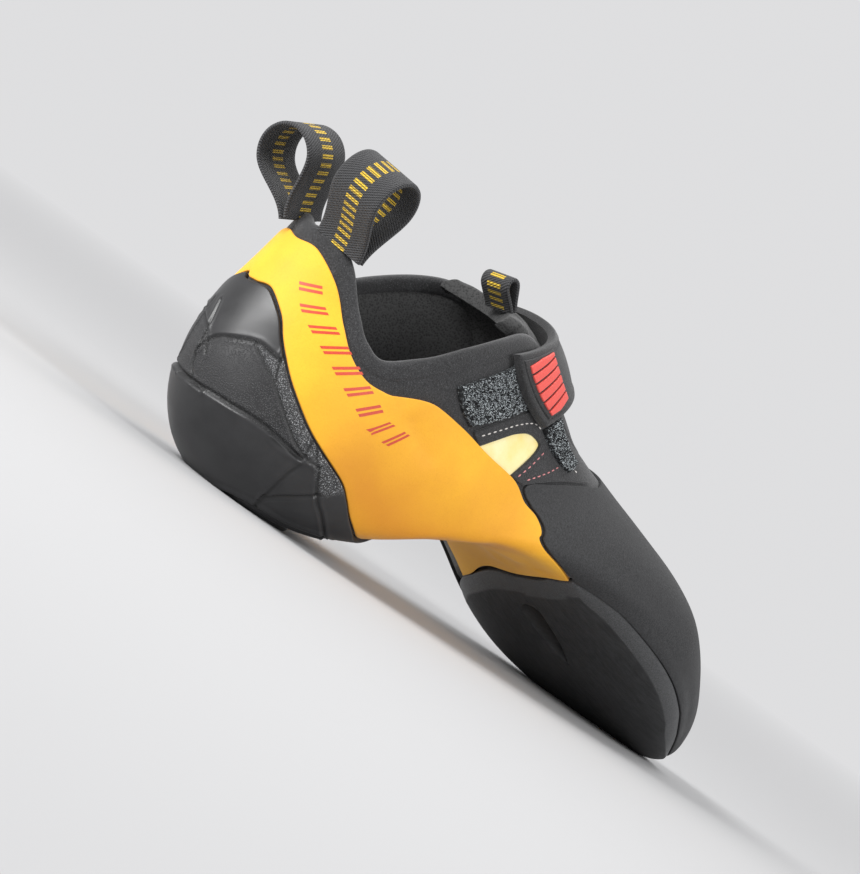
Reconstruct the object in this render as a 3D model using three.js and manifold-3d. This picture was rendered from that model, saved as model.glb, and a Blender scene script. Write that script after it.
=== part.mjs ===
// A slip-lasted, downturned climbing shoe for the right foot, in millimetres, +Z up.
// +Y points to the toe and +X to the outer side of the foot. The origin is the middle of the
// round badge under the heel, on the floor that heel and toe stand on.
import * as THREE from 'three';
import { mergeVertices } from 'three/addons/utils/BufferGeometryUtils.js';
import Module from 'manifold-3d';

const wasm = await Module();
wasm.setup();

// Main sizes of the shoe
const shoeLength = 245;
const tongueHeight = 98;
const archHeight = 28;
const heelWidth = 66;
const ballWidth = 80;

// Walls, skins and clearances
const upperWall = 2;
const overlayDepth = 1.2;
const clearance = 0.35;
const bandFace = 0.1;
const randFace = 0.3;
const cupFace = 0.5;
const ballRise = 1.1;
const soleThickness = 4.2;
const soleFace = 1.0;
const soleBevelDrop = 1.5;
const insoleThickness = 2;
const tongueThickness = 2.6;
const tongueCrown = 2;
const strapThickness = 2.6;
const patchThickness = 0.9;
const fieldFace = 1.0;
const strapLift = fieldFace + clearance;
const bindingRadius = 1.1;

// Heel badge, sole slot, pull loops and tongue loop
const badgeRadius = 12;
const badgeThickness = 1.5;
const badgeRimWidth = 2.2;
const slotLength = 29;
const slotWidth = 8;
const slotRow = 11.45;
const webbingWidth = 18;
const webbingThickness = 1.4;
const pullLoopHeight = 25;
const pullLoopDepth = 19;
const tongueLoopWidth = 10.5;
const tongueLoopHeight = 10;
const tongueLoopDepth = 6;

// Seams between neighbouring overlays, in steps along the table and in degrees round it
const seamStep = 0.03;
const seamTurn = 1.6;

// Sections of the last's outer form, from above the collar to the toe tip.
// back, front: where the section's lowest and highest points lie, shares of shoeLength
// rise, over: their heights, shares of tongueHeight; arch is added, a share of archHeight
// ball: how much the width follows ballWidth rather than heelWidth
// outer, inner, sway: half widths and middle, shares of that width
// belly: height share of the widest place; low, high: squareness under and over it
// roll: turn of the section that lifts its outer side, in degrees
const sections = [
  // back  rise  arch  front  over  ball  outer  inner  sway   belly low  high roll
  [0.039, 0.88, 0.00, 0.306, 1.00, 0.00, 0.386, 0.386, -0.197, 0.56, 2.1, 2.2, 0],
  [0.033, 0.80, 0.00, 0.318, 0.94, 0.00, 0.402, 0.402, -0.182, 0.56, 2.1, 2.2, 0],
  [0.016, 0.62, 0.00, 0.351, 0.94, 0.00, 0.432, 0.432, -0.167, 0.54, 2.1, 2.2, 0],
  [0.002, 0.45, 0.00, 0.380, 0.92, 0.00, 0.462, 0.462, -0.144, 0.48, 2.2, 2.2, 0],
  [0.000, 0.28, 0.00, 0.406, 0.89, 0.00, 0.488, 0.482, -0.118, 0.40, 2.2, 2.2, 0],
  [0.027, 0.12, 0.00, 0.429, 0.85, 0.00, 0.506, 0.488, -0.094, 0.34, 2.2, 2.2, 0],
  [0.082, 0.00, 0.05, 0.451, 0.80, 0.00, 0.509, 0.482, -0.073, 0.32, 2.3, 2.2, 0],
  [0.157, 0.00, 0.02, 0.478, 0.75, 0.00, 0.500, 0.461, -0.061, 0.32, 2.4, 2.2, 0],
  [0.229, 0.00, 0.20, 0.506, 0.71, 0.00, 0.494, 0.445, -0.058, 0.34, 2.5, 2.2, 1],
  [0.306, 0.00, 0.56, 0.543, 0.68, 0.25, 0.475, 0.423, -0.061, 0.38, 2.6, 2.2, 3],
  [0.390, 0.00, 0.89, 0.582, 0.65, 0.50, 0.479, 0.422, -0.068, 0.40, 2.8, 2.2, 7],
  [0.478, 0.00, 0.98, 0.624, 0.61, 0.75, 0.497, 0.434, -0.084, 0.40, 3.1, 2.2, 12],
  [0.567, 0.00, 0.84, 0.671, 0.56, 1.00, 0.512, 0.443, -0.100, 0.38, 3.4, 2.2, 16],
  [0.655, 0.00, 0.59, 0.722, 0.51, 1.00, 0.537, 0.455, -0.125, 0.36, 3.6, 2.2, 18],
  [0.735, 0.00, 0.36, 0.776, 0.46, 1.00, 0.535, 0.435, -0.155, 0.36, 3.6, 2.2, 18],
  [0.812, 0.00, 0.19, 0.831, 0.41, 1.00, 0.487, 0.385, -0.190, 0.36, 3.5, 2.2, 16],
  [0.880, 0.00, 0.07, 0.888, 0.36, 1.00, 0.405, 0.315, -0.225, 0.36, 3.2, 2.2, 12],
  [0.937, 0.00, 0.01, 0.943, 0.30, 1.00, 0.300, 0.233, -0.255, 0.38, 2.8, 2.2, 7],
  [0.969, 0.00, 0.02, 0.973, 0.235, 1.00, 0.212, 0.173, -0.265, 0.40, 2.6, 2.2, 4],
  [0.992, 0.00, 0.09, 0.993, 0.168, 1.00, 0.110, 0.105, -0.272, 0.44, 2.3, 2.2, 2],
  [1.000, 0.00, 0.29, 1.000, 0.106, 1.00, 0.011, 0.011, -0.274, 0.50, 2.2, 2.2, 0],
];
const rowsAboveCollar = 1;
const toeRow = sections.length - 1 - rowsAboveCollar;
const badgePlace = 0.145;

// Edge of the opening: the back of the collar, its dip at the ankle and the throat.
// angle: degrees round the section, -90 at the heel's back and 90 on the instep
// row: how far along the sections the edge lies
const openingEdge = [
  [-90, 0.20], [-71, 0.15], [-52, 0.55], [-37, 1.30], [-25, 1.93], [-12, 2.38], [2, 2.32], [14, 2.02],
  [30, 1.72], [43, 1.62], [52, 1.90], [60, 2.80], [66, 4.10], [72, 5.60], [80, 7.00], [90, 7.60],
];

// The sling band's two edges, from the back of the heel round the outer side and under the arch.
// topRow, topAngle: the edge next to collar, quarter and sole; footRow, footAngle: next to the cup
const bandOuterSide = [
  [0.45, -90, 1.45, -92], [0.45, -72, 1.35, -78], [0.85, -52, 1.70, -64], [1.60, -37, 2.15, -55],
  [2.20, -26, 2.70, -44], [2.70, -14, 3.50, -29], [3.00, -3, 4.20, -17], [3.40, 12, 4.75, -11],
  [4.50, 24.5, 5.20, -12], [6.10, 30, 5.70, -18], [7.30, 22, 6.30, -28], [8.30, 8, 7.00, -45],
  [9.40, -20, 7.70, -62], [10.30, -44, 8.05, -76], [10.42, -67, 8.15, -85], [10.77, -90, 8.20, -94],
];
const bandInnerSide = [
  [11.25, -108, 8.25, -103], [11.45, -121, 8.15, -112], [10.45, -114, 8.00, -116], [10.25, -132, 7.70, -122],
  [9.20, -152, 7.00, -137], [8.00, -178, 6.30, -152], [7.00, -198, 5.70, -162], [6.00, -208, 5.20, -168],
  [4.50, -204, 4.75, -169], [3.40, -192, 4.20, -163], [3.00, -177, 3.50, -151], [2.70, -166, 2.70, -136],
  [2.20, -154, 2.15, -125], [1.60, -143, 1.70, -116], [0.85, -128, 1.35, -102], [0.45, -108, 1.40, -97],
];
const bandCorners = [13, 17, 18, 19];

// Outsole: angles of its outer and inner side edge along the rows, and its rear edge across them
const soleSides = [
  // row outerAngle innerAngle
  [10.0, -47, -134], [10.6, -38, -136], [11.2, -31, -138], [12.3, -26, -143], [13.4, -20, -147],
  [14.4, -16, -149], [15.2, -20, -148], [16.0, -28, -146], [17.0, -35, -143], [18.0, -40, -140], [19.0, -44, -136],
];
const soleRear = [
  // share across, row
  [0.00, 10.33], [0.25, 10.45], [0.50, 10.80], [0.72, 11.28], [0.86, 11.50], [1.00, 11.78],
];

// Rear edge of the toe hood, over the instep from the sole's outer corner to its inner corner
const hoodRear = [
  // angle, row
  [-41.6, 10.33], [-20, 9.45], [8, 8.33], [22, 7.38], [31, 6.58], [38, 7.05], [46, 7.75], [55, 8.35], [72, 8.65],
  [90, 8.70], [108, 8.65], [125, 8.35], [134, 7.75], [142, 7.05], [152, 6.30], [162, 7.15], [182, 8.15],
  [208, 9.36], [218.5, 11.78],
];

// Quarter: the frame round the window, each row one corner or the middle of one side
const quarterFrame = [
  // outRow outAngle inRow inAngle
  [4.35, 26.2, 4.75, 29.2], [4.25, 42.0, 4.72, 37.0], [4.45, 59.0, 4.85, 45.0], [6.20, 57.0, 5.40, 44.5],
  [7.95, 54.0, 5.95, 41.0], [7.15, 42.0, 6.15, 35.5], [6.45, 33.5, 6.05, 33.0], [5.40, 29.8, 5.40, 31.0],
];

// Patches given by four corners: row and angle at the rear low, front low, front high, rear high
const fieldCorners = [[2.95, 15.5], [4.12, 23.5], [4.2, 54], [2.25, 49]];
const lowerFieldCorners = [[5.05, 49], [7.1, 49], [7.1, 57], [5.05, 60]];
const strapCorners = [[2.05, 31], [4.85, 47], [4.75, 152], [2.15, 144]];
const strapPatchCorners = [[2.3, 34], [4.6, 48.5], [4.6, 63], [2.3, 55]];
const tongueCorners = [[0.25, 50], [8.3, 58], [8.3, 122], [0.25, 130]];
const insoleCorners = [[4.7, -36], [16.4, -42], [16.4, -138], [4.7, -144]];

const fullTurn = 360;
const radians = THREE.MathUtils.degToRad;
const mix = THREE.MathUtils.lerp;
const ramp = (value) => THREE.MathUtils.smoothstep(value, 0, 1);

// Smooth value of a table's columns at a fractional row
function along(table, place, closed = false) {
  const count = table.length;
  const low = closed ? Math.floor(place) : Math.min(Math.max(Math.floor(place), 0), count - 2);
  const part = place - low;
  const pick = (k) => table[closed ? (k + 2 * count) % count : Math.min(Math.max(k, 0), count - 1)];
  const [a, b, c, d] = [pick(low - 1), pick(low), pick(low + 1), pick(low + 2)];
  return b.map((value, k) => {
    const slope = c[k] - a[k];
    const bend = 2 * a[k] - 5 * value + 4 * c[k] - d[k];
    const twist = -a[k] + 3 * value - 3 * c[k] + d[k];
    return 0.5 * (2 * value + slope * part + bend * part ** 2 + twist * part ** 3);
  });
}

// Straight-line lookup of a column against a rising first column
function lookup(table, key, column = 1) {
  const last = table.length - 1;
  if (key <= table[0][0]) return table[0][column];
  for (let k = 0; k < last; k += 1) {
    const [from, to] = [table[k], table[k + 1]];
    if (key <= to[0]) return mix(from[column], to[column], (key - from[0]) / (to[0] - from[0]));
  }
  return table[last][column];
}

// Point on the outer form at a row and an angle in degrees
function formPoint(row, angle) {
  const [back, rise, arch, front, over, ball, outer, inner, sway, belly, low, high, roll] =
    along(sections, row + rowsAboveCollar);
  const width = mix(heelWidth, ballWidth, ball);
  const foot = new THREE.Vector2(back * shoeLength, rise * tongueHeight + arch * archHeight);
  const crown = new THREE.Vector2(front * shoeLength, over * tongueHeight);
  const tall = crown.distanceTo(foot);
  const [cosine, sine] = [Math.cos(radians(angle)), Math.sin(radians(angle))];
  const power = 2 / (sine > 0 ? high : low);
  const side = Math.sign(cosine) * Math.abs(cosine) ** power * width * (cosine > 0 ? outer : inner);
  const lift = Math.sign(sine) * Math.abs(sine) ** power * tall * (sine > 0 ? 1 - belly : belly);
  const [turnX, turnY] = [Math.cos(radians(roll)), Math.sin(radians(roll))];
  const share = belly + (side * turnY + lift * turnX) / tall;
  const x = sway * width + side * turnX - lift * turnY;
  const spine = foot.lerp(crown, share);
  return new THREE.Vector3(x, spine.x - badgePlace * shoeLength, spine.y);
}

// Point moved out of the form along its normal
function skinPoint(row, angle, offset) {
  const stepRow = 0.02;
  const stepAngle = 0.8;
  const place = formPoint(row, angle);
  const alongRow = formPoint(row + stepRow, angle).sub(formPoint(row - stepRow, angle));
  const alongTurn = formPoint(row, angle + stepAngle).sub(formPoint(row, angle - stepAngle));
  const normal = alongRow.cross(alongTurn).normalize();
  return place.addScaledVector(normal, offset);
}

// Closed mesh from rings of points; the rings close on themselves, or end in two lids
function ringSolid(rings, closed) {
  const size = rings[0].length;
  const points = [];
  rings.forEach((ring) => ring.forEach((p) => points.push(p.x, p.y, p.z)));
  const faces = [];
  const quad = (a, b, c, d) => faces.push(a, b, c, a, c, d);
  const count = closed ? rings.length : rings.length - 1;
  for (let i = 0; i < count; i += 1) {
    const next = ((i + 1) % rings.length) * size;
    for (let j = 0; j < size; j += 1) {
      const k = (j + 1) % size;
      quad(i * size + j, i * size + k, next + k, next + j);
    }
  }
  if (!closed) {
    const end = (rings.length - 1) * size;
    for (let j = 0; j < size / 2 - 1; j += 1) {
      const mate = size - 1 - j;
      quad(mate, mate - 1, j + 1, j);
      quad(end + j, end + j + 1, end + mate - 1, end + mate);
    }
  }
  return tidySolid(points, faces);
}

// Merge equal corners, drop empty triangles and turn the faces outwards
function tidySolid(points, faces) {
  const loose = new THREE.BufferGeometry();
  loose.setAttribute('position', new THREE.Float32BufferAttribute(points, 3));
  loose.setIndex(faces);
  const merged = mergeVertices(loose, 1e-4);
  const corners = merged.index.array;
  const kept = [];
  for (let i = 0; i < corners.length; i += 3) {
    const [a, b, c] = [corners[i], corners[i + 1], corners[i + 2]];
    if (a !== b && b !== c && a !== c) kept.push(a, b, c);
  }
  merged.setIndex(kept);
  if (signedVolume(merged) < 0) {
    for (let i = 0; i < kept.length; i += 3) [kept[i + 1], kept[i + 2]] = [kept[i + 2], kept[i + 1]];
    merged.setIndex(kept);
  }
  return merged;
}

function signedVolume(geometry) {
  const place = geometry.getAttribute('position');
  const index = geometry.index.array;
  const [a, b, c] = [new THREE.Vector3(), new THREE.Vector3(), new THREE.Vector3()];
  let sum = 0;
  for (let i = 0; i < index.length; i += 3) {
    a.fromBufferAttribute(place, index[i]);
    b.fromBufferAttribute(place, index[i + 1]);
    c.fromBufferAttribute(place, index[i + 2]);
    sum += a.dot(b.cross(c));
  }
  return sum / 6;
}

// A skin over part of the form: place(s, w) gives row and angle, top and foot the two offsets
function skinPatch({ across, lengthways, place, top, foot, ring = false }) {
  const rings = [];
  const stations = ring ? lengthways : lengthways + 1;
  for (let i = 0; i < stations; i += 1) {
    const s = i / lengthways;
    const outside = [];
    const inside = [];
    for (let j = 0; j <= across; j += 1) {
      const [row, angle] = place(s, j / across);
      outside.push(skinPoint(row, angle, top(row, angle, s, j / across)));
      inside.push(skinPoint(row, angle, foot(row, angle, s, j / across)));
    }
    rings.push([...outside, ...inside.reverse()]);
  }
  return ringSolid(rings, ring);
}

// Place inside four corners, s from low to high and w from rear to front
function inCorners([rearLow, frontLow, frontHigh, rearHigh]) {
  return (s, w) => [
    mix(mix(rearLow[0], rearHigh[0], s), mix(frontLow[0], frontHigh[0], s), w),
    mix(mix(rearLow[1], rearHigh[1], s), mix(frontLow[1], frontHigh[1], s), w),
  ];
}

function toManifold(geometry) {
  const plain = geometry.clone();
  plain.deleteAttribute('normal');
  plain.deleteAttribute('uv');
  const merged = mergeVertices(plain, 1e-4);
  const vertProperties = new Float32Array(merged.getAttribute('position').array);
  const triVerts = new Uint32Array(merged.index.array);
  return new wasm.Manifold(new wasm.Mesh({ numProp: 3, vertProperties, triVerts }));
}

function fromManifold(solid) {
  const mesh = solid.getMesh();
  const geometry = new THREE.BufferGeometry();
  geometry.setAttribute('position', new THREE.BufferAttribute(new Float32Array(mesh.vertProperties), 3));
  geometry.setIndex(new THREE.BufferAttribute(new Uint32Array(mesh.triVerts), 1));
  return geometry;
}

// Everything under the floor plane, taken off what stands on it
function underFloor() {
  const depth = archHeight;
  const box = new THREE.BoxGeometry(2 * ballWidth, 2 * shoeLength, depth);
  box.translate(0, shoeLength / 2, -depth / 2);
  return toManifold(box);
}

// Share across the sole, 0 at its outer edge and 1 at its inner edge
function soleShare(row, angle) {
  const turned = angle > 90 ? angle - fullTurn : angle;
  const outer = lookup(soleSides, row, 1);
  return (outer - turned) / (outer - lookup(soleSides, row, 2));
}

// How far the shoe's inside gives way above the sole, 0 beside it and 1 over it
function soleRoom(row, angle) {
  const share = soleShare(row, angle);
  const margin = 0.1;
  const hem = 0.3;
  const sideways = ramp((Math.min(share, 1 - share) + margin / 2) / margin);
  const rear = lookup(soleRear, THREE.MathUtils.clamp(share, 0, 1));
  return sideways * ramp((row - rear + hem / 2) / hem);
}

const upperFace = -overlayDepth - clearance;
const soleTop = soleFace - soleThickness;
const roomUnderFoot = -soleTop - overlayDepth;
const outsideFace = (row, angle) => upperFace - roomUnderFoot * soleRoom(row, angle);
const insideFace = (row, angle) => outsideFace(row, angle) - upperWall;

// Whole turn of the opening's edge, outer side first, as angle and row
const mirrored = openingEdge.slice(1, -1).reverse().map(([angle, row]) => [180 - angle, row]);
const openingLoop = [...openingEdge, ...mirrored];

const turnedOn = ([angle, row], turn) => [angle + turn, row];
const openingTable = [
  turnedOn(openingLoop.at(-1), -fullTurn), ...openingLoop,
  turnedOn(openingLoop[0], fullTurn), turnedOn(openingLoop[1], fullTurn),
];
const openingAt = (share) => along(openingTable, 1 + share * openingLoop.length);

// Rows of the upper's columns, closer together where the heel curves
const upperColumns = 32;
const outsideEnd = toeRow - 0.55;
const insideEnd = toeRow - 1.5;

function columnRows(edge, end, count) {
  const heelEnd = 8.2;
  const heelShare = 0.52;
  return Array.from({ length: count + 1 }, (unused, k) => {
    const share = k / count;
    if (share < heelShare) return mix(edge, heelEnd, share / heelShare);
    return mix(heelEnd, end, (share - heelShare) / (1 - heelShare));
  });
}

// Points down one column of the upper, from the opening to near the toe
function columnPoints(share, end, count, face, lift = 0) {
  const [angle, edge] = openingAt(share);
  return columnRows(edge, end, count).map((row) => skinPoint(row, angle, face(row, angle) + lift));
}

const toeHub = (row) => formPoint(row, 0).add(formPoint(row, 180)).multiplyScalar(0.5);
const outsideCount = 26;
const insideCount = 16;

function upperShell() {
  const rings = [];
  for (let i = 0; i < upperColumns; i += 1) {
    const outside = columnPoints(i / upperColumns, outsideEnd, outsideCount, outsideFace);
    const inside = columnPoints(i / upperColumns, insideEnd, insideCount, insideFace);
    rings.push([...outside, toeHub(outsideEnd), toeHub(insideEnd), ...inside.reverse()]);
  }
  return ringSolid(rings, true);
}

// The form inside a face of the upper as a full body, from the opening's plane to the toe
function formBody(end, count, face, lift) {
  const outward = lift > 0;
  const hub = formPoint(4, 0).add(formPoint(4, 180)).multiplyScalar(0.5);
  const points = [];
  for (let i = 0; i < upperColumns; i += 1) {
    const column = columnPoints(i / upperColumns, end, count, face, lift);
    const ring = [hub, ...column, toeHub(end).add(new THREE.Vector3(0, lift, 0))];
    ring.forEach((p) => points.push(p.x, p.y, p.z));
  }
  const size = count + 3;
  const faces = [];
  for (let i = 0; i < upperColumns; i += 1) {
    const next = ((i + 1) % upperColumns) * size;
    for (let j = 0; j < size - 1; j += 1) {
      const [a, b, c, d] = [i * size + j, i * size + j + 1, next + j + 1, next + j];
      if (outward) faces.push(a, b, c, a, c, d);
      else faces.push(a, b, d, b, c, d);
    }
  }
  return toManifold(tidySolid(points, faces));
}

// What a cut leaves, without the crumbs beside its largest body
function largestBody(solid) {
  const bodies = solid.decompose().sort((a, b) => b.volume() - a.volume());
  return fromManifold(bodies[0]);
}

const outsideBody = formBody(outsideEnd, outsideCount, outsideFace, clearance);
const insideBody = formBody(insideEnd, insideCount, insideFace, -clearance);
const onUpper = (geometry) => largestBody(toManifold(geometry).subtract(outsideBody));
const inUpper = (geometry) => largestBody(toManifold(geometry).intersect(insideBody));

// Depth to which a blank reaches before the upper's body is cut out of it
const cutDepth = -2.6;

// The sling band's edges round the whole heel and arch, smooth but for its named corners
const bandLoop = [...bandOuterSide, ...bandInnerSide];
const bandSteps = 2 * bandLoop.length;

function bandEdge(share) {
  const count = bandLoop.length;
  const place = share * count;
  const low = Math.floor(place) % count;
  const part = place - Math.floor(place);
  const pick = (k) => bandLoop[(k + count) % count];
  const [b, c] = [pick(low), pick(low + 1)];
  const a = bandCorners.includes(low) ? b.map((v, k) => 2 * v - c[k]) : pick(low - 1);
  const d = bandCorners.includes(low + 1) ? c.map((v, k) => 2 * v - b[k]) : pick(low + 2);
  return along([a, b, c, d], 1 + part);
}

function slingBand() {
  const place = (s, w) => {
    const [topRow, topAngle, footRow, footAngle] = bandEdge(s);
    return [mix(topRow, footRow, w), mix(topAngle, footAngle, w)];
  };
  const blank = skinPatch({ across: 4, lengthways: bandSteps, place, ring: true,
    top: () => bandFace, foot: () => cutDepth });
  return onUpper(blank);
}

// Where the heel cup's rings of points meet, as row and angle
const cupMiddle = [4.9, -91];

// Raised ball of the heel cup: everything below a line that runs round the heel
const ballLine = [[-160, 4.45], [-136, 3.80], [-110, 3.42], [-71, 3.38], [-44, 3.80], [-20, 4.45]];

function cupTop(row, angle) {
  const rise = ramp((row - lookup(ballLine, angle)) / 0.3);
  return cupFace + ballRise * rise;
}

function cupCap() {
  const middle = cupMiddle;
  const rimShrink = 0.025;
  const hops = 5;
  const rings = [];
  const outsideHub = skinPoint(...middle, cupTop(...middle));
  const insideHub = skinPoint(...middle, cutDepth);
  for (let i = 0; i < bandSteps; i += 1) {
    const [, , footRow, footAngle] = bandEdge(i / bandSteps);
    const rim = [mix(footRow, middle[0], rimShrink), mix(footAngle, middle[1], rimShrink)];
    const outside = [];
    for (let j = hops; j > 0; j -= 1) {
      const spot = [mix(middle[0], rim[0], j / hops), mix(middle[1], rim[1], j / hops)];
      outside.push(skinPoint(...spot, cupTop(...spot)));
    }
    rings.push([...outside, outsideHub, insideHub, skinPoint(...rim, cutDepth)]);
  }
  return ringSolid(rings, true);
}

function heelCup() {
  const rimHeight = 1.8;
  const pocketDepth = badgeThickness + 2 * clearance;
  const facets = 32;
  const rim = new THREE.CylinderGeometry(
    badgeRadius + badgeRimWidth, badgeRadius + badgeRimWidth, rimHeight, facets);
  rim.rotateX(Math.PI / 2).translate(0, 0, rimHeight / 2);
  const pocket = new THREE.CylinderGeometry(
    badgeRadius + clearance, badgeRadius + clearance, 2 * pocketDepth, facets);
  pocket.rotateX(Math.PI / 2);
  const cup = toManifold(cupCap()).subtract(outsideBody).subtract(underFloor()).add(toManifold(rim));
  return largestBody(cup.subtract(toManifold(pocket)));
}

function badgeDisc() {
  const disc = new THREE.CylinderGeometry(badgeRadius, badgeRadius, badgeThickness, 32);
  disc.rotateX(Math.PI / 2).translate(0, 0, badgeThickness / 2);
  return disc;
}

// Sole between its edges, before the upper's body and the slot are cut out of it
function soleBlank(grow) {
  const across = 12;
  const lengthways = 16;
  const end = toeRow - 0.12;
  const place = (w, s) => {
    const row = mix(lookup(soleRear, s), end, w);
    return [row, mix(lookup(soleSides, row, 1) + grow, lookup(soleSides, row, 2) - grow, s)];
  };
  const bevel = (row, angle, w, s) => {
    const edge = Math.min(s / 0.1, (1 - s) / 0.1, w / 0.055);
    return soleFace + grow / 2 - soleBevelDrop * (1 - Math.min(edge, 1));
  };
  return toManifold(skinPatch({ across, lengthways, place, top: bevel, foot: () => soleTop - 2 }));
}

function outsole() {
  const half = slotWidth / 2;
  const shape = new THREE.Shape();
  shape.moveTo(0, slotLength);
  shape.bezierCurveTo(half * 0.7, slotLength * 0.7, half, slotLength * 0.5, half, half * 1.2);
  shape.absarc(0, half * 1.2, half, 0, -Math.PI, true);
  shape.bezierCurveTo(-half, slotLength * 0.5, -half * 0.5, slotLength * 0.75, 0, slotLength);
  const cutter = new THREE.ExtrudeGeometry(shape, {
    depth: tongueHeight, bevelEnabled: false, curveSegments: 8 });
  const rear = formPoint(slotRow, -90);
  cutter.translate(rear.x + half * 0.6, rear.y, -archHeight);
  const blank = soleBlank(0).subtract(outsideBody);
  return largestBody(blank.subtract(underFloor()).subtract(toManifold(cutter)));
}

function toeHood() {
  const end = toeRow - 0.12;
  const last = hoodRear.length - 1;
  const spread = (row, share) => {
    const seam = seamTurn * (1 + 3 * ramp((row - 16) / 2.5));
    const outer = lookup(soleSides, row, 1) + seam;
    const inner = lookup(soleSides, row, 2) + fullTurn - seam;
    return mix(outer, inner, share);
  };
  const place = (s, w) => {
    const [angle, rear] = along(hoodRear, w * last);
    const share = (angle - hoodRear[0][0]) / (hoodRear[last][0] - hoodRear[0][0]);
    const row = mix(rear + seamStep, end, s);
    return [row, spread(row, share) + (angle - spread(rear, share)) * (1 - s)];
  };
  const blank = skinPatch({ across: 19, lengthways: 12, place, top: () => randFace, foot: () => cutDepth });
  const seam = seamTurn / 2;
  return largestBody(toManifold(blank).subtract(outsideBody).subtract(soleBlank(seam)));
}

// Frame in the quarter, a closed strip between the window and the quarter's outline
function quarterPanel() {
  const place = (s, w) => {
    const [outRow, outAngle, inRow, inAngle] = along(quarterFrame, s * quarterFrame.length, true);
    return [mix(outRow, inRow, w), mix(outAngle, inAngle, w)];
  };
  return skinPatch({ across: 2, lengthways: 2 * quarterFrame.length, place, ring: true,
    top: () => bandFace, foot: () => -overlayDepth });
}

const windowMiddle = [5.4, 37.5];

function windowPanel() {
  const middle = windowMiddle;
  const around = 2 * quarterFrame.length;
  const shrink = 0.9;
  const hops = 2;
  const face = -0.5;
  const rings = [];
  for (let i = 0; i < around; i += 1) {
    const [, , inRow, inAngle] = along(quarterFrame, (i / around) * quarterFrame.length, true);
    const ring = [];
    const spots = [];
    for (let j = hops; j > 0; j -= 1) {
      spots.push([mix(middle[0], inRow, (shrink * j) / hops), mix(middle[1], inAngle, (shrink * j) / hops)]);
    }
    spots.forEach((spot) => ring.push(skinPoint(...spot, face)));
    ring.push(skinPoint(...middle, face), skinPoint(...middle, -overlayDepth));
    spots.reverse().forEach((spot) => ring.push(skinPoint(...spot, -overlayDepth)));
    rings.push(ring);
  }
  return ringSolid(rings, true);
}

function cornerPatch(corners, across, lengthways, top, foot) {
  const at = inCorners(corners);
  const place = (s, w) => at(w, s);
  return skinPatch({ across, lengthways, place, top: () => top, foot: () => foot });
}

// The strap lies on the pile at its outer end and comes down to the upper where it is sewn on
function strapBand() {
  const at = inCorners(strapCorners);
  const sewn = upperFace + clearance;
  const under = (row, angle, s, w) => mix(strapLift, sewn, ramp((w - 0.72) / 0.2));
  return skinPatch({ across: 16, lengthways: 3, place: (s, w) => at(w, s), foot: under,
    top: (row, angle, s, w) => under(row, angle, s, w) + strapThickness });
}

// Half the throat's angle at a row
const throatHalf = [[1.6, 45], [2.8, 30], [4.1, 24], [5.6, 18], [7.0, 10], [7.6, 0]];

function tonguePad() {
  const at = inCorners(tongueCorners);
  const rest = upperFace - upperWall - 3 * clearance;
  const crown = (row, angle) => {
    const inside = lookup(throatHalf, row) - Math.abs(angle - 90) - 5;
    return rest + tongueCrown * ramp(inside / 9);
  };
  return skinPatch({ across: 8, lengthways: 9, place: (s, w) => at(w, s), top: crown,
    foot: () => rest - tongueThickness });
}

function insoleSheet() {
  const at = inCorners(insoleCorners);
  const under = (row, angle) => insideFace(row, angle) - clearance;
  return inUpper(skinPatch({ across: 5, lengthways: 12, place: (s, w) => at(w, s), top: () => 0,
    foot: (row, angle) => under(row, angle) - insoleThickness }));
}

// Round binding along the opening's edge
function collarBinding() {
  const steps = upperColumns;
  const sides = 6;
  const reach = bindingRadius + clearance;
  const depth = upperFace - upperWall / 3;
  const rings = [];
  const spots = [];
  for (let i = 0; i < steps; i += 1) {
    const [angle, row] = openingAt(i / steps);
    const place = skinPoint(row, angle, depth);
    spots.push({ place, out: skinPoint(row, angle, depth + 1) });
  }
  for (let i = 0; i < steps; i += 1) {
    const { place, out } = spots[i];
    const next = spots[(i + 1) % steps].place;
    const last = spots[(i + steps - 1) % steps].place;
    const tangent = next.clone().sub(last).normalize();
    const outward = out.clone().sub(place).normalize();
    const upward = outward.clone().cross(tangent).normalize();
    const hub = place.clone().addScaledVector(upward, reach);
    const ring = [];
    for (let j = 0; j < sides; j += 1) {
      const turn = (2 * Math.PI * j) / sides;
      ring.push(hub.clone().addScaledVector(outward, bindingRadius * Math.cos(turn))
        .addScaledVector(upward, bindingRadius * Math.sin(turn)));
    }
    rings.push(ring);
  }
  return ringSolid(rings, true);
}

// A loop of webbing: a drop-shaped ring, standing on its point, extruded over the webbing's width
function webbingLoop(width, height, depth, thickness) {
  const drop = (path, inset) => {
    const half = depth / 2 - inset;
    const waist = height - depth / 2;
    const stem = thickness - inset * 0.6;
    path.moveTo(stem, inset);
    path.bezierCurveTo(stem, height * 0.25, half, waist - depth * 0.3, half, waist);
    path.absarc(0, waist, half, 0, Math.PI, false);
    path.bezierCurveTo(-half, waist - depth * 0.3, -stem, height * 0.25, -stem, inset);
    path.lineTo(stem, inset);
  };
  const outline = new THREE.Shape();
  drop(outline, 0);
  const hole = new THREE.Path();
  drop(hole, thickness);
  outline.holes.push(hole);
  const band = new THREE.ExtrudeGeometry(outline, { depth: width, bevelEnabled: false, curveSegments: 4 });
  band.translate(0, 0, -width / 2);
  return band;
}

// Stand a webbing loop on a place, its height along up and its width along wide
function standLoop(mesh, place, up, wide) {
  const rise = up.clone().normalize();
  const span = wide.clone().addScaledVector(rise, -wide.dot(rise)).normalize();
  const face = rise.clone().cross(span);
  mesh.quaternion.setFromRotationMatrix(new THREE.Matrix4().makeBasis(face, rise, span));
  mesh.position.copy(place);
}

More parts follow.
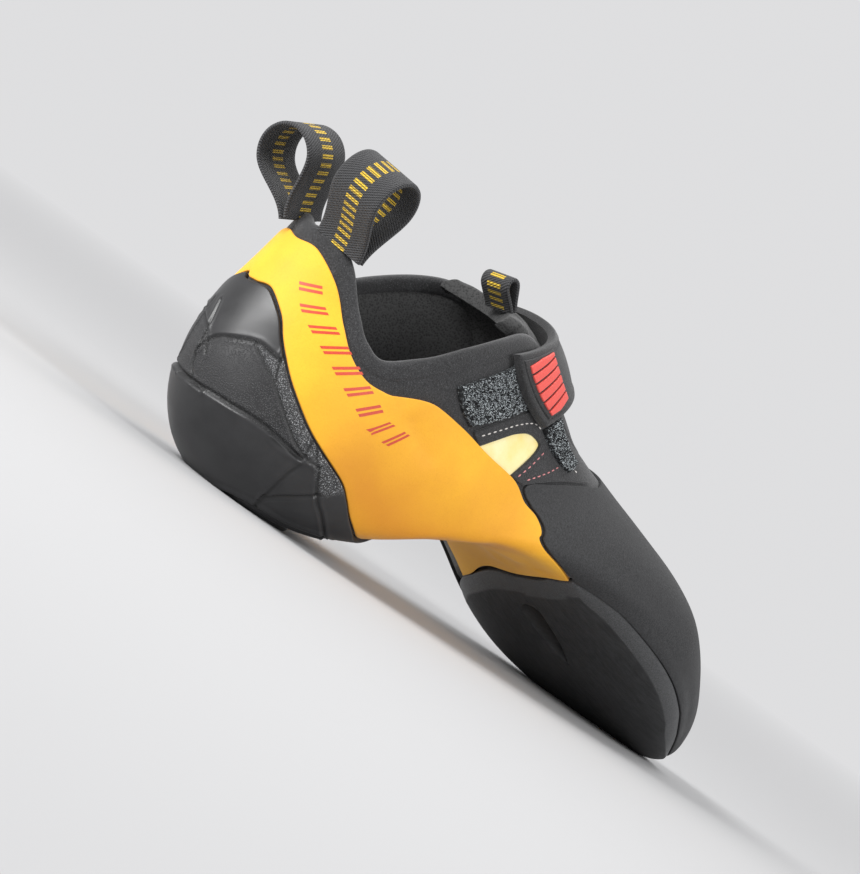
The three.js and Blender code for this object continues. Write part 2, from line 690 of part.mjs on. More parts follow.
const shoe = new THREE.Group();
const finishes = {
  microfibre: new THREE.MeshStandardMaterial({ color: 0x24242a, roughness: 0.9, metalness: 0 }),
  band: new THREE.MeshStandardMaterial({ color: 0xf0b022, roughness: 0.75, metalness: 0 }),
  rubber: new THREE.MeshStandardMaterial({ color: 0x2b2b2e, roughness: 0.55, metalness: 0 }),
  pale: new THREE.MeshStandardMaterial({ color: 0xf3dc7c, roughness: 0.7, metalness: 0 }),
  fuzz: new THREE.MeshStandardMaterial({ color: 0x3a3e42, roughness: 1, metalness: 0 }),
  webbing: new THREE.MeshStandardMaterial({ color: 0x1d1e20, roughness: 0.8, metalness: 0 }),
  patch: new THREE.MeshStandardMaterial({ color: 0xe4544c, roughness: 0.5, metalness: 0 }),
  lining: new THREE.MeshStandardMaterial({ color: 0x55565a, roughness: 0.9, metalness: 0 }),
};

function add(name, geometry, finish) {
  const mesh = new THREE.Mesh(geometry, finishes[finish]);
  mesh.name = name;
  shoe.add(mesh);
  return mesh;
}

add('upper', upperShell(), 'microfibre');
add('sling_band', slingBand(), 'band');
add('heel_cup', heelCup(), 'rubber');
add('heel_badge', badgeDisc(), 'band');
add('outsole', outsole(), 'rubber');
add('front_rand', toeHood(), 'rubber');
add('quarter', quarterPanel(), 'microfibre');
add('window_panel', windowPanel(), 'pale');
add('loop_field', cornerPatch(fieldCorners, 4, 4, fieldFace, -overlayDepth), 'fuzz');
add('loop_field_front', cornerPatch(lowerFieldCorners, 2, 4, 2.4, bandFace + clearance), 'fuzz');
add('tongue', tonguePad(), 'microfibre');
add('insole', insoleSheet(), 'lining');
add('collar_binding', collarBinding(), 'microfibre');

const strapFace = strapLift + strapThickness;
add('strap', strapBand(), 'webbing');
add('strap_patch', cornerPatch(strapPatchCorners, 2, 4, strapFace + clearance + patchThickness,
  strapFace + clearance), 'patch');

const pullLoop = webbingLoop(webbingWidth, pullLoopHeight, pullLoopDepth, webbingThickness);
const rimHeight = 2 * bindingRadius + 6 * clearance;
const outerSeat = skinPoint(0.3, -64, upperFace).add(new THREE.Vector3(0, 0, rimHeight));
const innerSeat = skinPoint(0.3, -112, upperFace).add(new THREE.Vector3(0, 0, rimHeight));
standLoop(add('pull_loop_outer', pullLoop, 'webbing'), outerSeat,
  new THREE.Vector3(0.15, -0.15, 0.97), new THREE.Vector3(0.92, 0.36, -0.1));
standLoop(add('pull_loop_inner', pullLoop.clone(), 'webbing'), innerSeat,
  new THREE.Vector3(-0.38, -0.42, 0.82), new THREE.Vector3(0.26, -0.95, -0.1));

const tongueLoop = webbingLoop(tongueLoopWidth, tongueLoopHeight, tongueLoopDepth, webbingThickness);
const tongueMiddle = upperFace - upperWall - clearance - tongueThickness / 2;
const tongueSeat = skinPoint(tongueCorners[0][0], 79, tongueMiddle);
const tongueLoopLift = new THREE.Vector3(0, -0.3, 1.23).multiplyScalar(tongueThickness);
standLoop(add('tongue_loop', tongueLoop, 'webbing'), tongueSeat.add(tongueLoopLift),
  new THREE.Vector3(0, -0.7, 0.72), new THREE.Vector3(1, 0, 0));

export default shoe;
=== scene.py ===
# Right climbing shoe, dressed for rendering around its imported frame.
# Shapes are worked out in millimetres in the frame's axes: +Y to the toe, +X to the outer side, +Z up.
import math

import bmesh
import bpy
import numpy as np
from mathutils import Matrix, Vector


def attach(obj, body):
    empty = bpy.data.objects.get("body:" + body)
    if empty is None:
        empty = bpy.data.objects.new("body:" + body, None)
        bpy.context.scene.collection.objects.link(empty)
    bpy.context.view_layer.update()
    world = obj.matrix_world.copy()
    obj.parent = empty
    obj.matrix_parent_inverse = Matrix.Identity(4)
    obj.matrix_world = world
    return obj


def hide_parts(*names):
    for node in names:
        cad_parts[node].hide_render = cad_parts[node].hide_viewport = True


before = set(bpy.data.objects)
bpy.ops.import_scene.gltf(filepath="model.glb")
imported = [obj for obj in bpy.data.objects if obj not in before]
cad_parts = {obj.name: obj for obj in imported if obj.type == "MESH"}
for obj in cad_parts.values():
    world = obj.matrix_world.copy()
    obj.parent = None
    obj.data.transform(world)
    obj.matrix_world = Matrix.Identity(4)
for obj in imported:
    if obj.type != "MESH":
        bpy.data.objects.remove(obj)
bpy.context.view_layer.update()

MM = 0.001

# Driving sizes of the shoe
SHOE_LENGTH = 245.0
TONGUE_HEIGHT = 98.0
ARCH_HEIGHT = 28.0
HEEL_WIDTH = 66.0
BALL_WIDTH = 80.0

# Faces of the layers, measured from the last's outer form
UPPER_FACE = -0.5
UPPER_WALL = 2.0
LAYER_FOOT = -1.2
BAND_FACE = 0.1
RAND_FACE = 0.3
QUARTER_FACE = 0.35
CUP_FACE = 0.5
BALL_RISE = 1.1
SOLE_FACE = 1.0
SOLE_THICKNESS = 4.2
STRAP_LIFT = 1.35
STRAP_THICKNESS = 2.6
BADGE_RADIUS = 12.0
BADGE_PLACE = 0.145
TOE_ROW = 19
TOE_GAP = 0.02
LINING_GAP = 1.0
WEBBING_THICKNESS = 1.4
SLOT_HALF = 4.0
SLOT_LENGTH = 29.0
SLOT_ROW = 11.45
SLOT_SHIFT = 2.4
SLOT_DEPTH = 2.6

# Sections of the last's outer form, from above the collar to the toe tip.
# back, front: where the lowest and highest points lie, shares of the length
# rise, over: their heights, shares of the tongue's height; arch is added, a share of the arch's height
# ball: how much the width follows the ball's width rather than the heel's
# outer, inner, sway: half widths and middle, shares of that width
# belly: height share of the widest place; low, high: squareness under and over it; roll in degrees
SECTIONS = np.array([
    # back  rise  arch  front  over  ball  outer  inner  sway   belly low  high roll
    [0.039, 0.88, 0.00, 0.306, 1.00, 0.00, 0.386, 0.386, -0.197, 0.56, 2.1, 2.2, 0],
    [0.033, 0.80, 0.00, 0.318, 0.94, 0.00, 0.402, 0.402, -0.182, 0.56, 2.1, 2.2, 0],
    [0.016, 0.62, 0.00, 0.351, 0.94, 0.00, 0.432, 0.432, -0.167, 0.54, 2.1, 2.2, 0],
    [0.002, 0.45, 0.00, 0.380, 0.92, 0.00, 0.462, 0.462, -0.144, 0.48, 2.2, 2.2, 0],
    [0.000, 0.28, 0.00, 0.406, 0.89, 0.00, 0.488, 0.482, -0.118, 0.40, 2.2, 2.2, 0],
    [0.027, 0.12, 0.00, 0.429, 0.85, 0.00, 0.506, 0.488, -0.094, 0.34, 2.2, 2.2, 0],
    [0.082, 0.00, 0.05, 0.451, 0.80, 0.00, 0.509, 0.482, -0.073, 0.32, 2.3, 2.2, 0],
    [0.157, 0.00, 0.02, 0.478, 0.75, 0.00, 0.500, 0.461, -0.061, 0.32, 2.4, 2.2, 0],
    [0.229, 0.00, 0.20, 0.506, 0.71, 0.00, 0.494, 0.445, -0.058, 0.34, 2.5, 2.2, 1],
    [0.306, 0.00, 0.56, 0.543, 0.68, 0.25, 0.475, 0.423, -0.061, 0.38, 2.6, 2.2, 3],
    [0.390, 0.00, 0.89, 0.582, 0.65, 0.50, 0.479, 0.422, -0.068, 0.40, 2.8, 2.2, 7],
    [0.478, 0.00, 0.98, 0.624, 0.61, 0.75, 0.497, 0.434, -0.084, 0.40, 3.1, 2.2, 12],
    [0.567, 0.00, 0.84, 0.671, 0.56, 1.00, 0.512, 0.443, -0.100, 0.38, 3.4, 2.2, 16],
    [0.655, 0.00, 0.59, 0.722, 0.51, 1.00, 0.537, 0.455, -0.125, 0.36, 3.6, 2.2, 18],
    [0.735, 0.00, 0.36, 0.776, 0.46, 1.00, 0.535, 0.435, -0.155, 0.36, 3.6, 2.2, 18],
    [0.812, 0.00, 0.19, 0.831, 0.41, 1.00, 0.487, 0.385, -0.190, 0.36, 3.5, 2.2, 16],
    [0.880, 0.00, 0.07, 0.888, 0.36, 1.00, 0.405, 0.315, -0.225, 0.36, 3.2, 2.2, 12],
    [0.937, 0.00, 0.01, 0.943, 0.30, 1.00, 0.300, 0.233, -0.255, 0.38, 2.8, 2.2, 7],
    [0.969, 0.00, 0.02, 0.973, 0.235, 1.00, 0.212, 0.173, -0.265, 0.40, 2.6, 2.2, 4],
    [0.992, 0.00, 0.09, 0.993, 0.168, 1.00, 0.110, 0.105, -0.272, 0.44, 2.3, 2.2, 2],
    [1.000, 0.00, 0.29, 1.000, 0.106, 1.00, 0.011, 0.011, -0.274, 0.50, 2.2, 2.2, 0],
])

# Edge of the opening: angle round the section and row along the table
OPENING = [
    (-90, 0.20), (-71, 0.15), (-52, 0.55), (-37, 1.30), (-25, 1.93), (-12, 2.38), (2, 2.32), (14, 2.02),
    (30, 1.72), (43, 1.62), (52, 1.90), (60, 2.80), (66, 4.10), (72, 5.60), (80, 7.00), (90, 7.60),
]

# The sling band's two edges: row and angle next to the collar and sole, then next to the heel cup
BAND = [
    (0.45, -90, 1.38, -90), (0.45, -72, 1.35, -78), (0.85, -52, 1.70, -64), (1.60, -37, 2.15, -55),
    (2.20, -26, 2.70, -44), (2.70, -14, 3.50, -29), (3.00, -3, 4.20, -17), (3.40, 12, 4.75, -11),
    (4.50, 24.5, 5.20, -12), (6.10, 30, 5.70, -18), (7.30, 22, 6.30, -28), (8.30, 8, 7.00, -45),
    (9.40, -20, 7.70, -62), (10.30, -44, 8.05, -76), (10.42, -67, 8.15, -85), (10.77, -90, 8.20, -94),
    (11.25, -108, 8.25, -103), (11.45, -121, 8.15, -112), (10.45, -114, 8.00, -116),
    (10.25, -132, 7.70, -122), (9.20, -152, 7.00, -137), (8.00, -178, 6.30, -152),
    (7.00, -198, 5.70, -162), (6.00, -208, 5.20, -168), (4.50, -204, 4.75, -169),
    (3.40, -192, 4.20, -163), (3.00, -177, 3.50, -151), (2.70, -166, 2.70, -136),
    (2.20, -154, 2.15, -125), (1.60, -143, 1.70, -116), (0.85, -128, 1.35, -102), (0.45, -108, 1.40, -97),
]
BAND_CORNERS = (13, 17, 18, 19)

# Outsole: row, outer angle, inner angle; then share across and row of its rear edge
SOLE_SIDES = np.array([
    (10.0, -47, -134), (10.6, -38, -136), (11.2, -31, -138), (12.3, -26, -143), (13.4, -20, -147),
    (14.4, -16, -149), (15.2, -20, -148), (16.0, -28, -146), (17.0, -35, -143), (18.0, -40, -140),
    (19.0, -44, -136),
], float)
SOLE_REAR = np.array([(0.0, 10.33), (0.25, 10.45), (0.5, 10.80), (0.72, 11.28), (0.86, 11.50), (1.0, 11.78)])

# Rear edge of the toe hood: angle and row, from the sole's outer corner to its inner corner
HOOD_REAR = np.array([
    (-41.6, 10.33), (-20, 9.45), (8, 8.33), (22, 7.38), (31, 6.58), (38, 7.05), (46, 7.75), (55, 8.35),
    (72, 8.65), (90, 8.70), (108, 8.65), (125, 8.35), (134, 7.75), (142, 7.05), (152, 6.30), (162, 7.15),
    (182, 8.15), (208, 9.36), (218.5, 11.78),
], float)

# Quarter from the band round the window to the band: row and angle of the outline, then of the window
QUARTER = np.array([
    (4.28, 24.4, 4.72, 25.6), (4.22, 34.0, 4.72, 31.0), (4.25, 46.0, 4.77, 38.0), (4.45, 59.0, 5.00, 43.5),
    (6.20, 57.0, 5.42, 45.8), (7.95, 54.0, 5.62, 43.0), (7.15, 42.0, 5.80, 36.5), (6.52, 30.6, 5.96, 30.2),
], float)
WINDOW_FOOT = np.array([(4.66, 24.3), (6.06, 29.2)])

# Patches given by four corners, row and angle: rear low, front low, front high, rear high
FIELD = ((2.95, 15.5), (4.12, 23.5), (4.20, 54), (2.25, 49))
FIELD_FRONT = ((5.05, 49), (7.1, 49), (7.1, 57), (5.05, 60))
STRAP = ((2.05, 31), (4.85, 47), (4.75, 152), (2.15, 144))
STRAP_PATCH = ((2.3, 34), (4.6, 48.5), (4.6, 63), (2.3, 55))
TONGUE = ((0.25, 50), (8.3, 58), (8.3, 122), (0.25, 130))
INSOLE = ((4.7, -36), (16.4, -42), (16.4, -138), (4.7, -144))


# The last's form
def along(table, place, closed=False):
    """Smooth values of a table's columns at fractional rows."""
    table = np.asarray(table, float)
    place = np.asarray(place, float)
    count = len(table)
    low = np.floor(place).astype(int)
    if not closed:
        low = np.clip(low, 0, count - 2)
    part = (place - low)[..., None]
    rows = [low + k for k in (-1, 0, 1, 2)]
    rows = [r % count if closed else np.clip(r, 0, count - 1) for r in rows]
    a, b, c, d = (table[r] for r in rows)
    bend = 2 * a - 5 * b + 4 * c - d
    twist = -a + 3 * b - 3 * c + d
    return 0.5 * (2 * b + (c - a) * part + bend * part ** 2 + twist * part ** 3)


def form_point(row, angle):
    """Points on the outer form at rows and angles in degrees."""
    row, angle = np.broadcast_arrays(np.asarray(row, float), np.asarray(angle, float))
    columns = along(SECTIONS, row + 1)
    back, rise, arch, front, over, ball, outer, inner, sway, belly, low, high, roll = (
        columns[..., k] for k in range(13))
    width = HEEL_WIDTH + (BALL_WIDTH - HEEL_WIDTH) * ball
    foot_y = back * SHOE_LENGTH
    foot_z = rise * TONGUE_HEIGHT + arch * ARCH_HEIGHT
    crown_y = front * SHOE_LENGTH
    crown_z = over * TONGUE_HEIGHT
    tall = np.hypot(crown_y - foot_y, crown_z - foot_z)
    cosine = np.cos(np.radians(angle))
    sine = np.sin(np.radians(angle))
    power = 2 / np.where(sine > 0, high, low)
    side = np.sign(cosine) * np.abs(cosine) ** power * width * np.where(cosine > 0, outer, inner)
    lift = np.sign(sine) * np.abs(sine) ** power * tall * np.where(sine > 0, 1 - belly, belly)
    turn = np.radians(roll)
    share = belly + (side * np.sin(turn) + lift * np.cos(turn)) / tall
    x = sway * width + side * np.cos(turn) - lift * np.sin(turn)
    y = foot_y + (crown_y - foot_y) * share - BADGE_PLACE * SHOE_LENGTH
    z = foot_z + (crown_z - foot_z) * share
    return np.stack([x, y, z], -1)


def unit(vectors):
    return vectors / np.maximum(np.linalg.norm(vectors, axis=-1, keepdims=True), 1e-9)


def skin_normal(row, angle):
    step_row, step_angle = 0.02, 0.8
    row, angle = np.broadcast_arrays(np.asarray(row, float), np.asarray(angle, float))
    along_row = form_point(row + step_row, angle) - form_point(row - step_row, angle)
    along_turn = form_point(row, angle + step_angle) - form_point(row, angle - step_angle)
    return unit(np.cross(along_row, along_turn))


def skin_point(row, angle, offset):
    """Points moved out of the form along its normal."""
    offset = np.asarray(offset, float)
    return form_point(row, angle) + skin_normal(row, angle) * offset[..., None]


def ramp(value):
    value = np.clip(value, 0, 1)
    return value * value * (3 - 2 * value)


def mix(a, b, share):
    return a + (b - a) * share


def spread(count):
    """Even steps from 0 to 1, with a few more close to both ends."""
    step = 1 / count
    near = [step * part for part in (0.12, 0.3, 0.55)]
    even = [k * step for k in range(1, count)]
    return np.array([0, *near, *even, *[1 - part for part in reversed(near)], 1])


# Mesh making
def new_object(name, points, faces, material, smooth=True):
    mesh = bpy.data.meshes.new(name)
    mesh.from_pydata((np.asarray(points) * MM).tolist(), [], faces)
    mesh.update()
    mesh.polygons.foreach_set("use_smooth", [smooth] * len(mesh.polygons))
    mesh.materials.append(material)
    piece = bpy.data.objects.new(name, mesh)
    bpy.context.scene.collection.objects.link(piece)
    return piece


def set_attribute(piece, name, values):
    """A value, or three, at every point, for the materials to read."""
    values = np.asarray(values, float)
    kind = "FLOAT_VECTOR" if values.ndim == 2 else "FLOAT"
    layer = piece.data.attributes.new(name, kind, "POINT")
    key = "vector" if values.ndim == 2 else "value"
    layer.data.foreach_set(key, values.ravel())


def grid_faces(rows, columns, ring_rows=False, ring_columns=False, start=0):
    faces = []
    for i in range(rows if ring_rows else rows - 1):
        a = start + i * columns
        b = start + ((i + 1) % rows) * columns
        for j in range(columns if ring_columns else columns - 1):
            k = (j + 1) % columns
            faces.append((a + j, a + k, b + k, b + j))
    return faces


def arc_lengths(points, axis):
    steps = np.linalg.norm(np.diff(points, axis=axis), axis=-1)
    zero = np.zeros_like(np.take(steps, [0], axis=axis))
    return np.concatenate([zero, np.cumsum(steps, axis=axis)], axis=axis)


def edge_distance(points, ring):
    """Distance of each grid point from the patch's edges, along the grid."""
    across = arc_lengths(points, 1)
    distance = np.minimum(across, across[:, -1:] - across)
    if not ring:
        down = arc_lengths(points, 0)
        distance = np.minimum(distance, np.minimum(down, down[-1:] - down))
    return distance


def round_over(distance, radius):
    """How far a face has dropped this near to its rounded edge."""
    inward = 1 - np.clip(distance / radius, 0, 1)
    return radius * (1 - np.sqrt(1 - inward ** 2))


def patch(name, place, lengthways, across, face, material, foot=LAYER_FOOT, ring=False, radius=0.5):
    """A skin with rounded edges. place(s, w) gives rows and angles; face gives its height."""
    s = np.arange(lengthways) / lengthways if ring else spread(lengthways)
    w = spread(across)
    s, w = np.meshgrid(s, w, indexing="ij")
    row, angle = place(s, w)
    base = form_point(row, angle)
    distance = edge_distance(base, ring)
    height = face(row, angle, base, distance) if callable(face) else np.full(row.shape, face)
    height = height - round_over(distance, radius)
    pad = ((0, 0), (1, 1)) if ring else ((1, 1), (1, 1))
    row, angle, distance = (np.pad(values, pad, mode="edge") for values in (row, angle, distance))
    height = np.pad(height, pad, constant_values=foot)
    points = skin_point(row, angle, height)
    faces = grid_faces(*row.shape, ring_rows=ring)
    piece = new_object(name, points.reshape(-1, 3), faces, material)
    turn_outwards(piece, points, row, angle)
    return piece, row, angle, distance


def turn_outwards(piece, points, row, angle):
    """Flip the faces if they look into the form."""
    i, j = (n // 2 for n in row.shape)
    normal = np.cross(points[i + 1, j] - points[i, j], points[i, j + 1] - points[i, j])
    if np.dot(normal, skin_normal(row[i, j], angle[i, j])) > 0:
        piece.data.flip_normals()


def stand(piece, slot, *nodes):
    """The piece rides on the shoe and stands for its nodes; its slot is not used."""
    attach(piece, "root")
    if nodes:
        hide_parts(*nodes)


def corner_place(corners):
    (r0, a0), (r1, a1), (r2, a2), (r3, a3) = corners

    def place(s, w):
        low_row, low_angle = mix(r0, r1, s), mix(a0, a1, s)
        high_row, high_angle = mix(r3, r2, s), mix(a3, a2, s)
        return mix(low_row, high_row, w), mix(low_angle, high_angle, w)
    return place


def smooth_line(spots, closeness):
    """Rows and angles of a smooth line through given ones."""
    place = np.linspace(0, len(spots) - 1, (len(spots) - 1) * closeness + 1)
    return along(np.array(spots, float), place).T


def line_points(spots, closeness=14):
    return form_point(*smooth_line(spots, closeness))


def line_distance(points, line):
    """Distance from each point to a line of points."""
    flat = points.reshape(-1, 3)
    best = np.full(len(flat), 1e9)
    for a, b in zip(line[:-1], line[1:]):
        step = b - a
        share = np.clip(((flat - a) @ step) / max(step @ step, 1e-9), 0, 1)
        best = np.minimum(best, np.linalg.norm(flat - a - share[:, None] * step, axis=1))
    return best.reshape(points.shape[:-1])


# Creases of the leather: width and depth in millimetres, then rows and angles
CREASES = [
    (3.0, -0.45, [(3.70, 7), (4.10, 10), (4.60, 12)]),
    (4.0, 0.40, [(3.30, 10), (3.90, 16), (4.60, 18)]),
    (9.0, -0.50, [(5.2, -4), (6.4, -12), (7.6, -26), (8.6, -44)]),
    (6.0, 0.45, [(4.8, 12), (5.8, 16), (6.9, 8), (7.9, -8)]),
    (2.0, -0.5, [(8.20, -79), (8.79, -92), (9.33, -98)]),
    (3.2, 0.55, [(8.83, -87), (9.60, -100), (10.32, -108)]),
    (3.0, 0.45, [(9.30, -84), (9.96, -87), (10.35, -88)]),
    (4.0, -0.55, [(8.90, -42), (9.51, -49), (10.10, -58)]),
    (3.0, 0.4, [(8.50, -60), (9.20, -66), (9.90, -70)]),
    (5.0, -0.5, [(8.3, -135), (7.6, -150), (6.8, -165)]),
    (3.0, 0.4, [(6.0, -178), (7.0, -170), (8.0, -160)]),
]
CREASE_LIMIT = 0.5
CREASE_LIFT = 0.25


def crease_height(points):
    """Troughs and ridges, lifted so that no trough reaches the layer below."""
    total = np.zeros(points.shape[:-1])
    for width, depth, spots in CREASES:
        away = line_distance(points, line_points(spots, closeness=5))
        total += depth * np.exp(-(away / width) ** 2)
    return np.maximum(total, -CREASE_LIMIT) + CREASE_LIFT


# Materials
class Material:
    """A small builder of shader nodes."""

    def __init__(self, name, roughness=0.7, **sockets):
        self.material = bpy.data.materials.new(name)
        self.material.use_nodes = True
        self.tree = self.material.node_tree
        self.shader = self.tree.nodes["Principled BSDF"]
        self.shader.inputs["Roughness"].default_value = roughness
        for key, value in sockets.items():
            self.shader.inputs[key.replace("_", " ")].default_value = value
        self.place = self.node("ShaderNodeTexCoord").outputs["Object"]

    def node(self, kind, **settings):
        made = self.tree.nodes.new(kind)
        for key, value in settings.items():
            setattr(made, key, value)
        return made

    def link(self, source, socket):
        if isinstance(source, (int, float, tuple)):
            socket.default_value = source
        else:
            self.tree.links.new(source, socket)

    def math(self, operation, a, b=0.0, c=0.0, clamp=False):
        made = self.node("ShaderNodeMath", operation=operation, use_clamp=clamp)
        for source, socket in zip((a, b, c), made.inputs):
            self.link(source, socket)
        return made.outputs[0]

    def times(self, a, b, clamp=False):
        return self.math("MULTIPLY", a, b, clamp=clamp)

    def attribute(self, name, output="Fac"):
        return self.node("ShaderNodeAttribute", attribute_name=name).outputs[output]

    def noise(self, scale, detail=3.0, roughness=0.6, stretch=None):
        """Noise with features of about 1 / scale metres."""
        made = self.node("ShaderNodeTexNoise")
        made.inputs["Scale"].default_value = scale
        made.inputs["Detail"].default_value = detail
        made.inputs["Roughness"].default_value = roughness
        where = self.place
        if stretch:
            mapping = self.node("ShaderNodeMapping")
            mapping.inputs["Scale"].default_value = stretch
            self.link(where, mapping.inputs["Vector"])
            where = mapping.outputs[0]
        self.link(where, made.inputs["Vector"])
        return made.outputs["Fac"]

    def cells(self, scale):
        made = self.node("ShaderNodeTexVoronoi", feature="F1")
        made.inputs["Scale"].default_value = scale
        self.link(self.place, made.inputs["Vector"])
        return made.outputs["Distance"]

    def span(self, value, low, high, to_low=0.0, to_high=1.0):
        made = self.node("ShaderNodeMapRange")
        for key, source in zip(("Value", "From Min", "From Max", "To Min", "To Max"),
                               (value, low, high, to_low, to_high)):
            self.link(source, made.inputs[key])
        return made.outputs[0]

    def blend(self, share, a, b):
        made = self.node("ShaderNodeMix", data_type="RGBA")
        for source, socket in ((share, made.inputs[0]), (a, made.inputs[6]), (b, made.inputs[7])):
            if isinstance(source, tuple):
                source = (*source, 1.0)
            self.link(source, socket)
        return made.outputs[2]

    def colour(self, source):
        self.link((*source, 1.0) if isinstance(source, tuple) else source, self.shader.inputs["Base Color"])

    def rough(self, source):
        self.link(source, self.shader.inputs["Roughness"])

    def bump(self, height, distance, strength=1.0):
        made = self.node("ShaderNodeBump")
        made.inputs["Strength"].default_value = strength
        made.inputs["Distance"].default_value = distance
        self.link(height, made.inputs["Height"])
        previous = self.shader.inputs["Normal"]
        if previous.is_linked:
            self.link(previous.links[0].from_socket, made.inputs["Normal"])
        self.link(made.outputs[0], self.shader.inputs["Normal"])


def black_suede(name, dark=0.008, light=0.046):
    look = Material(name, 0.92, Sheen_Weight=0.25, Sheen_Roughness=0.5)
    nap = look.noise(1700, 4, 0.75)
    cloud = look.noise(110, 3)
    speck = look.noise(3100, 1, 0.9)
    share = look.times(look.span(nap, 0.38, 0.68), look.span(cloud, 0.25, 0.8, 0.45, 1.0))
    tone = look.blend(share, (dark, dark, dark * 1.08), (light, light, light * 1.06))
    pale = (light * 3, light * 3, light * 3.1)
    look.colour(look.blend(look.span(speck, 0.62, 0.72, 0.0, 0.6), tone, pale))
    look.bump(nap, 0.00022, 0.8)
    return look.material


def yellow_leather():
    look = Material("yellow_leather", 0.66, Sheen_Weight=0.15, Sheen_Roughness=0.4)
    nap = look.noise(2300, 3, 0.7)
    cloud = look.noise(60, 4, 0.55)
    pores = look.noise(900, 2, 0.5)
    tone = look.blend(look.span(cloud, 0.3, 0.72), (0.84, 0.385, 0.010), (0.93, 0.475, 0.018))
    # Painted shade: the shade attribute darkens the yellow to deep amber. In the arch it stands partly for
    # shade and partly for real staining; in the creases' troughs and at the bottom of the sole's slot it
    # stands for shade alone.
    tone = look.blend(look.times(look.attribute("shade"), 0.75), tone, (0.60, 0.205, 0.004))
    tone = look.blend(look.span(nap, 0.25, 0.5, 0.22, 0.0), tone, (0.55, 0.20, 0.004))
    tone = look.blend(look.attribute("edge"), tone, (0.50, 0.20, 0.012))
    look.colour(tone)
    look.rough(look.span(cloud, 0.2, 0.8, 0.60, 0.74))
    look.bump(nap, 0.00009, 0.6)
    look.bump(pores, 0.00016, 0.45)
    return look.material


def moulded_rubber():
    """Heel cup: smooth satin fields, pebbled and flecked ones, and grooves darkened by painted shade."""
    look = Material("moulded_rubber", 0.5)
    grain, strip, groove = (look.attribute(name) for name in ("grain", "strip", "groove"))
    pebbles = look.cells(2300)
    flecks = look.noise(2700, 2, 0.85)
    fine = look.noise(2600, 2, 0.6)
    cloud = look.noise(140, 3)
    wear = look.noise(28, 4, 0.6)
    bead = look.times(look.span(pebbles, 0.12, 0.5, 1.0, 0.0), grain)
    fleck = look.times(look.span(flecks, 0.54, 0.64), strip)
    tone = look.blend(look.span(cloud, 0.3, 0.75), (0.011, 0.011, 0.012), (0.019, 0.019, 0.020))
    tone = look.blend(look.span(wear, 0.5, 0.8, 0.0, 0.35), tone, (0.045, 0.045, 0.047))
    tone = look.blend(look.times(bead, 0.42), tone, (0.13, 0.13, 0.135))
    tone = look.blend(fleck, tone, (0.42, 0.43, 0.44))
    # Painted shade: the groove attribute darkens the rubber almost to black along the grooves.
    tone = look.blend(look.times(groove, 0.85, clamp=True), tone, (0.002, 0.002, 0.002))
    look.colour(tone)
    smooth = look.span(cloud, 0.25, 0.8, 0.34, 0.46)
    look.rough(look.math("ADD", smooth, look.times(grain, 0.12), clamp=True))
    look.bump(bead, 0.00022, 0.9)
    look.bump(fleck, 0.00015, 0.6)
    look.bump(fine, 0.00004, 0.5)
    return look.material


def sole_rubber():
    look = Material("sole_rubber", 0.62)
    streaks = look.noise(900, 4, 0.7, stretch=(1.0, 0.16, 0.6))
    fine = look.noise(2400, 3, 0.7)
    cloud = look.noise(45, 4, 0.6)
    bevel = look.attribute("bevel")
    tone = look.blend(look.span(streaks, 0.35, 0.7), (0.014, 0.014, 0.015), (0.040, 0.041, 0.043))
    tone = look.blend(look.span(cloud, 0.45, 0.8, 0.0, 0.45), tone, (0.055, 0.056, 0.058))
    satin = look.blend(look.span(fine, 0.35, 0.7), (0.035, 0.036, 0.038), (0.105, 0.107, 0.110))
    look.colour(look.blend(bevel, tone, satin))
    look.rough(look.math("SUBTRACT", 0.64, look.times(bevel, 0.16)))
    look.bump(streaks, 0.00018, 0.6)
    look.bump(fine, 0.00010, 0.6)
    return look.material


def hood_rubber():
    look = Material("hood_rubber", 0.68)
    fine = look.noise(1900, 4, 0.75)
    cloud = look.noise(70, 3)
    share = look.times(look.span(fine, 0.36, 0.68), look.span(cloud, 0.2, 0.8, 0.5, 1.0))
    look.colour(look.blend(share, (0.009, 0.009, 0.010), (0.050, 0.051, 0.053)))
    look.rough(look.span(cloud, 0.25, 0.8, 0.58, 0.74))
    look.bump(fine, 0.00022, 0.8)
    return look.material


def woven_webbing():
    """Black twill with a ladder of yellow bars down its middle; thread holds length and width."""
    ladder_half, bar_turn = 2.6, 2.6
    look = Material("loop_webbing", 0.72, Sheen_Weight=0.1)
    split = look.node("ShaderNodeSeparateXYZ")
    look.link(look.attribute("thread", "Vector"), split.inputs[0])
    length, width = split.outputs[0], split.outputs[1]
    twill = look.math("SINE", look.math("ADD", look.times(length, 7.5), look.times(width, 4.6)))
    yarn = look.math("SINE", look.times(width, 12.6))
    pick = look.math("SINE", look.times(length, 9.4))
    weave = look.math("ADD", look.times(twill, 0.6), look.times(yarn, 0.4))
    fuzz = look.noise(2600, 3, 0.7)
    tone = look.blend(look.span(weave, -0.6, 0.9), (0.007, 0.007, 0.008), (0.052, 0.052, 0.055))
    tone = look.blend(look.span(fuzz, 0.5, 0.75, 0.0, 0.35), tone, (0.10, 0.10, 0.105))
    inside = look.math("LESS_THAN", look.math("ABSOLUTE", width), ladder_half)
    wave = look.math("SINE", look.times(length, bar_turn))
    bar = look.times(inside, look.math("GREATER_THAN", wave, 0.0))
    gold = look.blend(look.span(pick, -0.8, 0.6), (0.16, 0.10, 0.006), (0.78, 0.52, 0.03))
    look.bump(bar, 0.0002, 0.5)
    look.colour(look.blend(bar, tone, gold))
    look.bump(weave, 0.00022, 0.8)
    return look.material


def pile_ground():
    look = Material("pile_ground", 0.95)
    clumps = look.cells(900)
    fine = look.noise(3200, 2, 0.8)
    speck = look.times(look.span(clumps, 0.1, 0.6, 1.0, 0.0), look.span(fine, 0.5, 0.62))
    look.colour(look.blend(speck, (0.006, 0.007, 0.008), (0.42, 0.46, 0.48)))
    look.bump(clumps, 0.0005, 0.8)
    return look.material


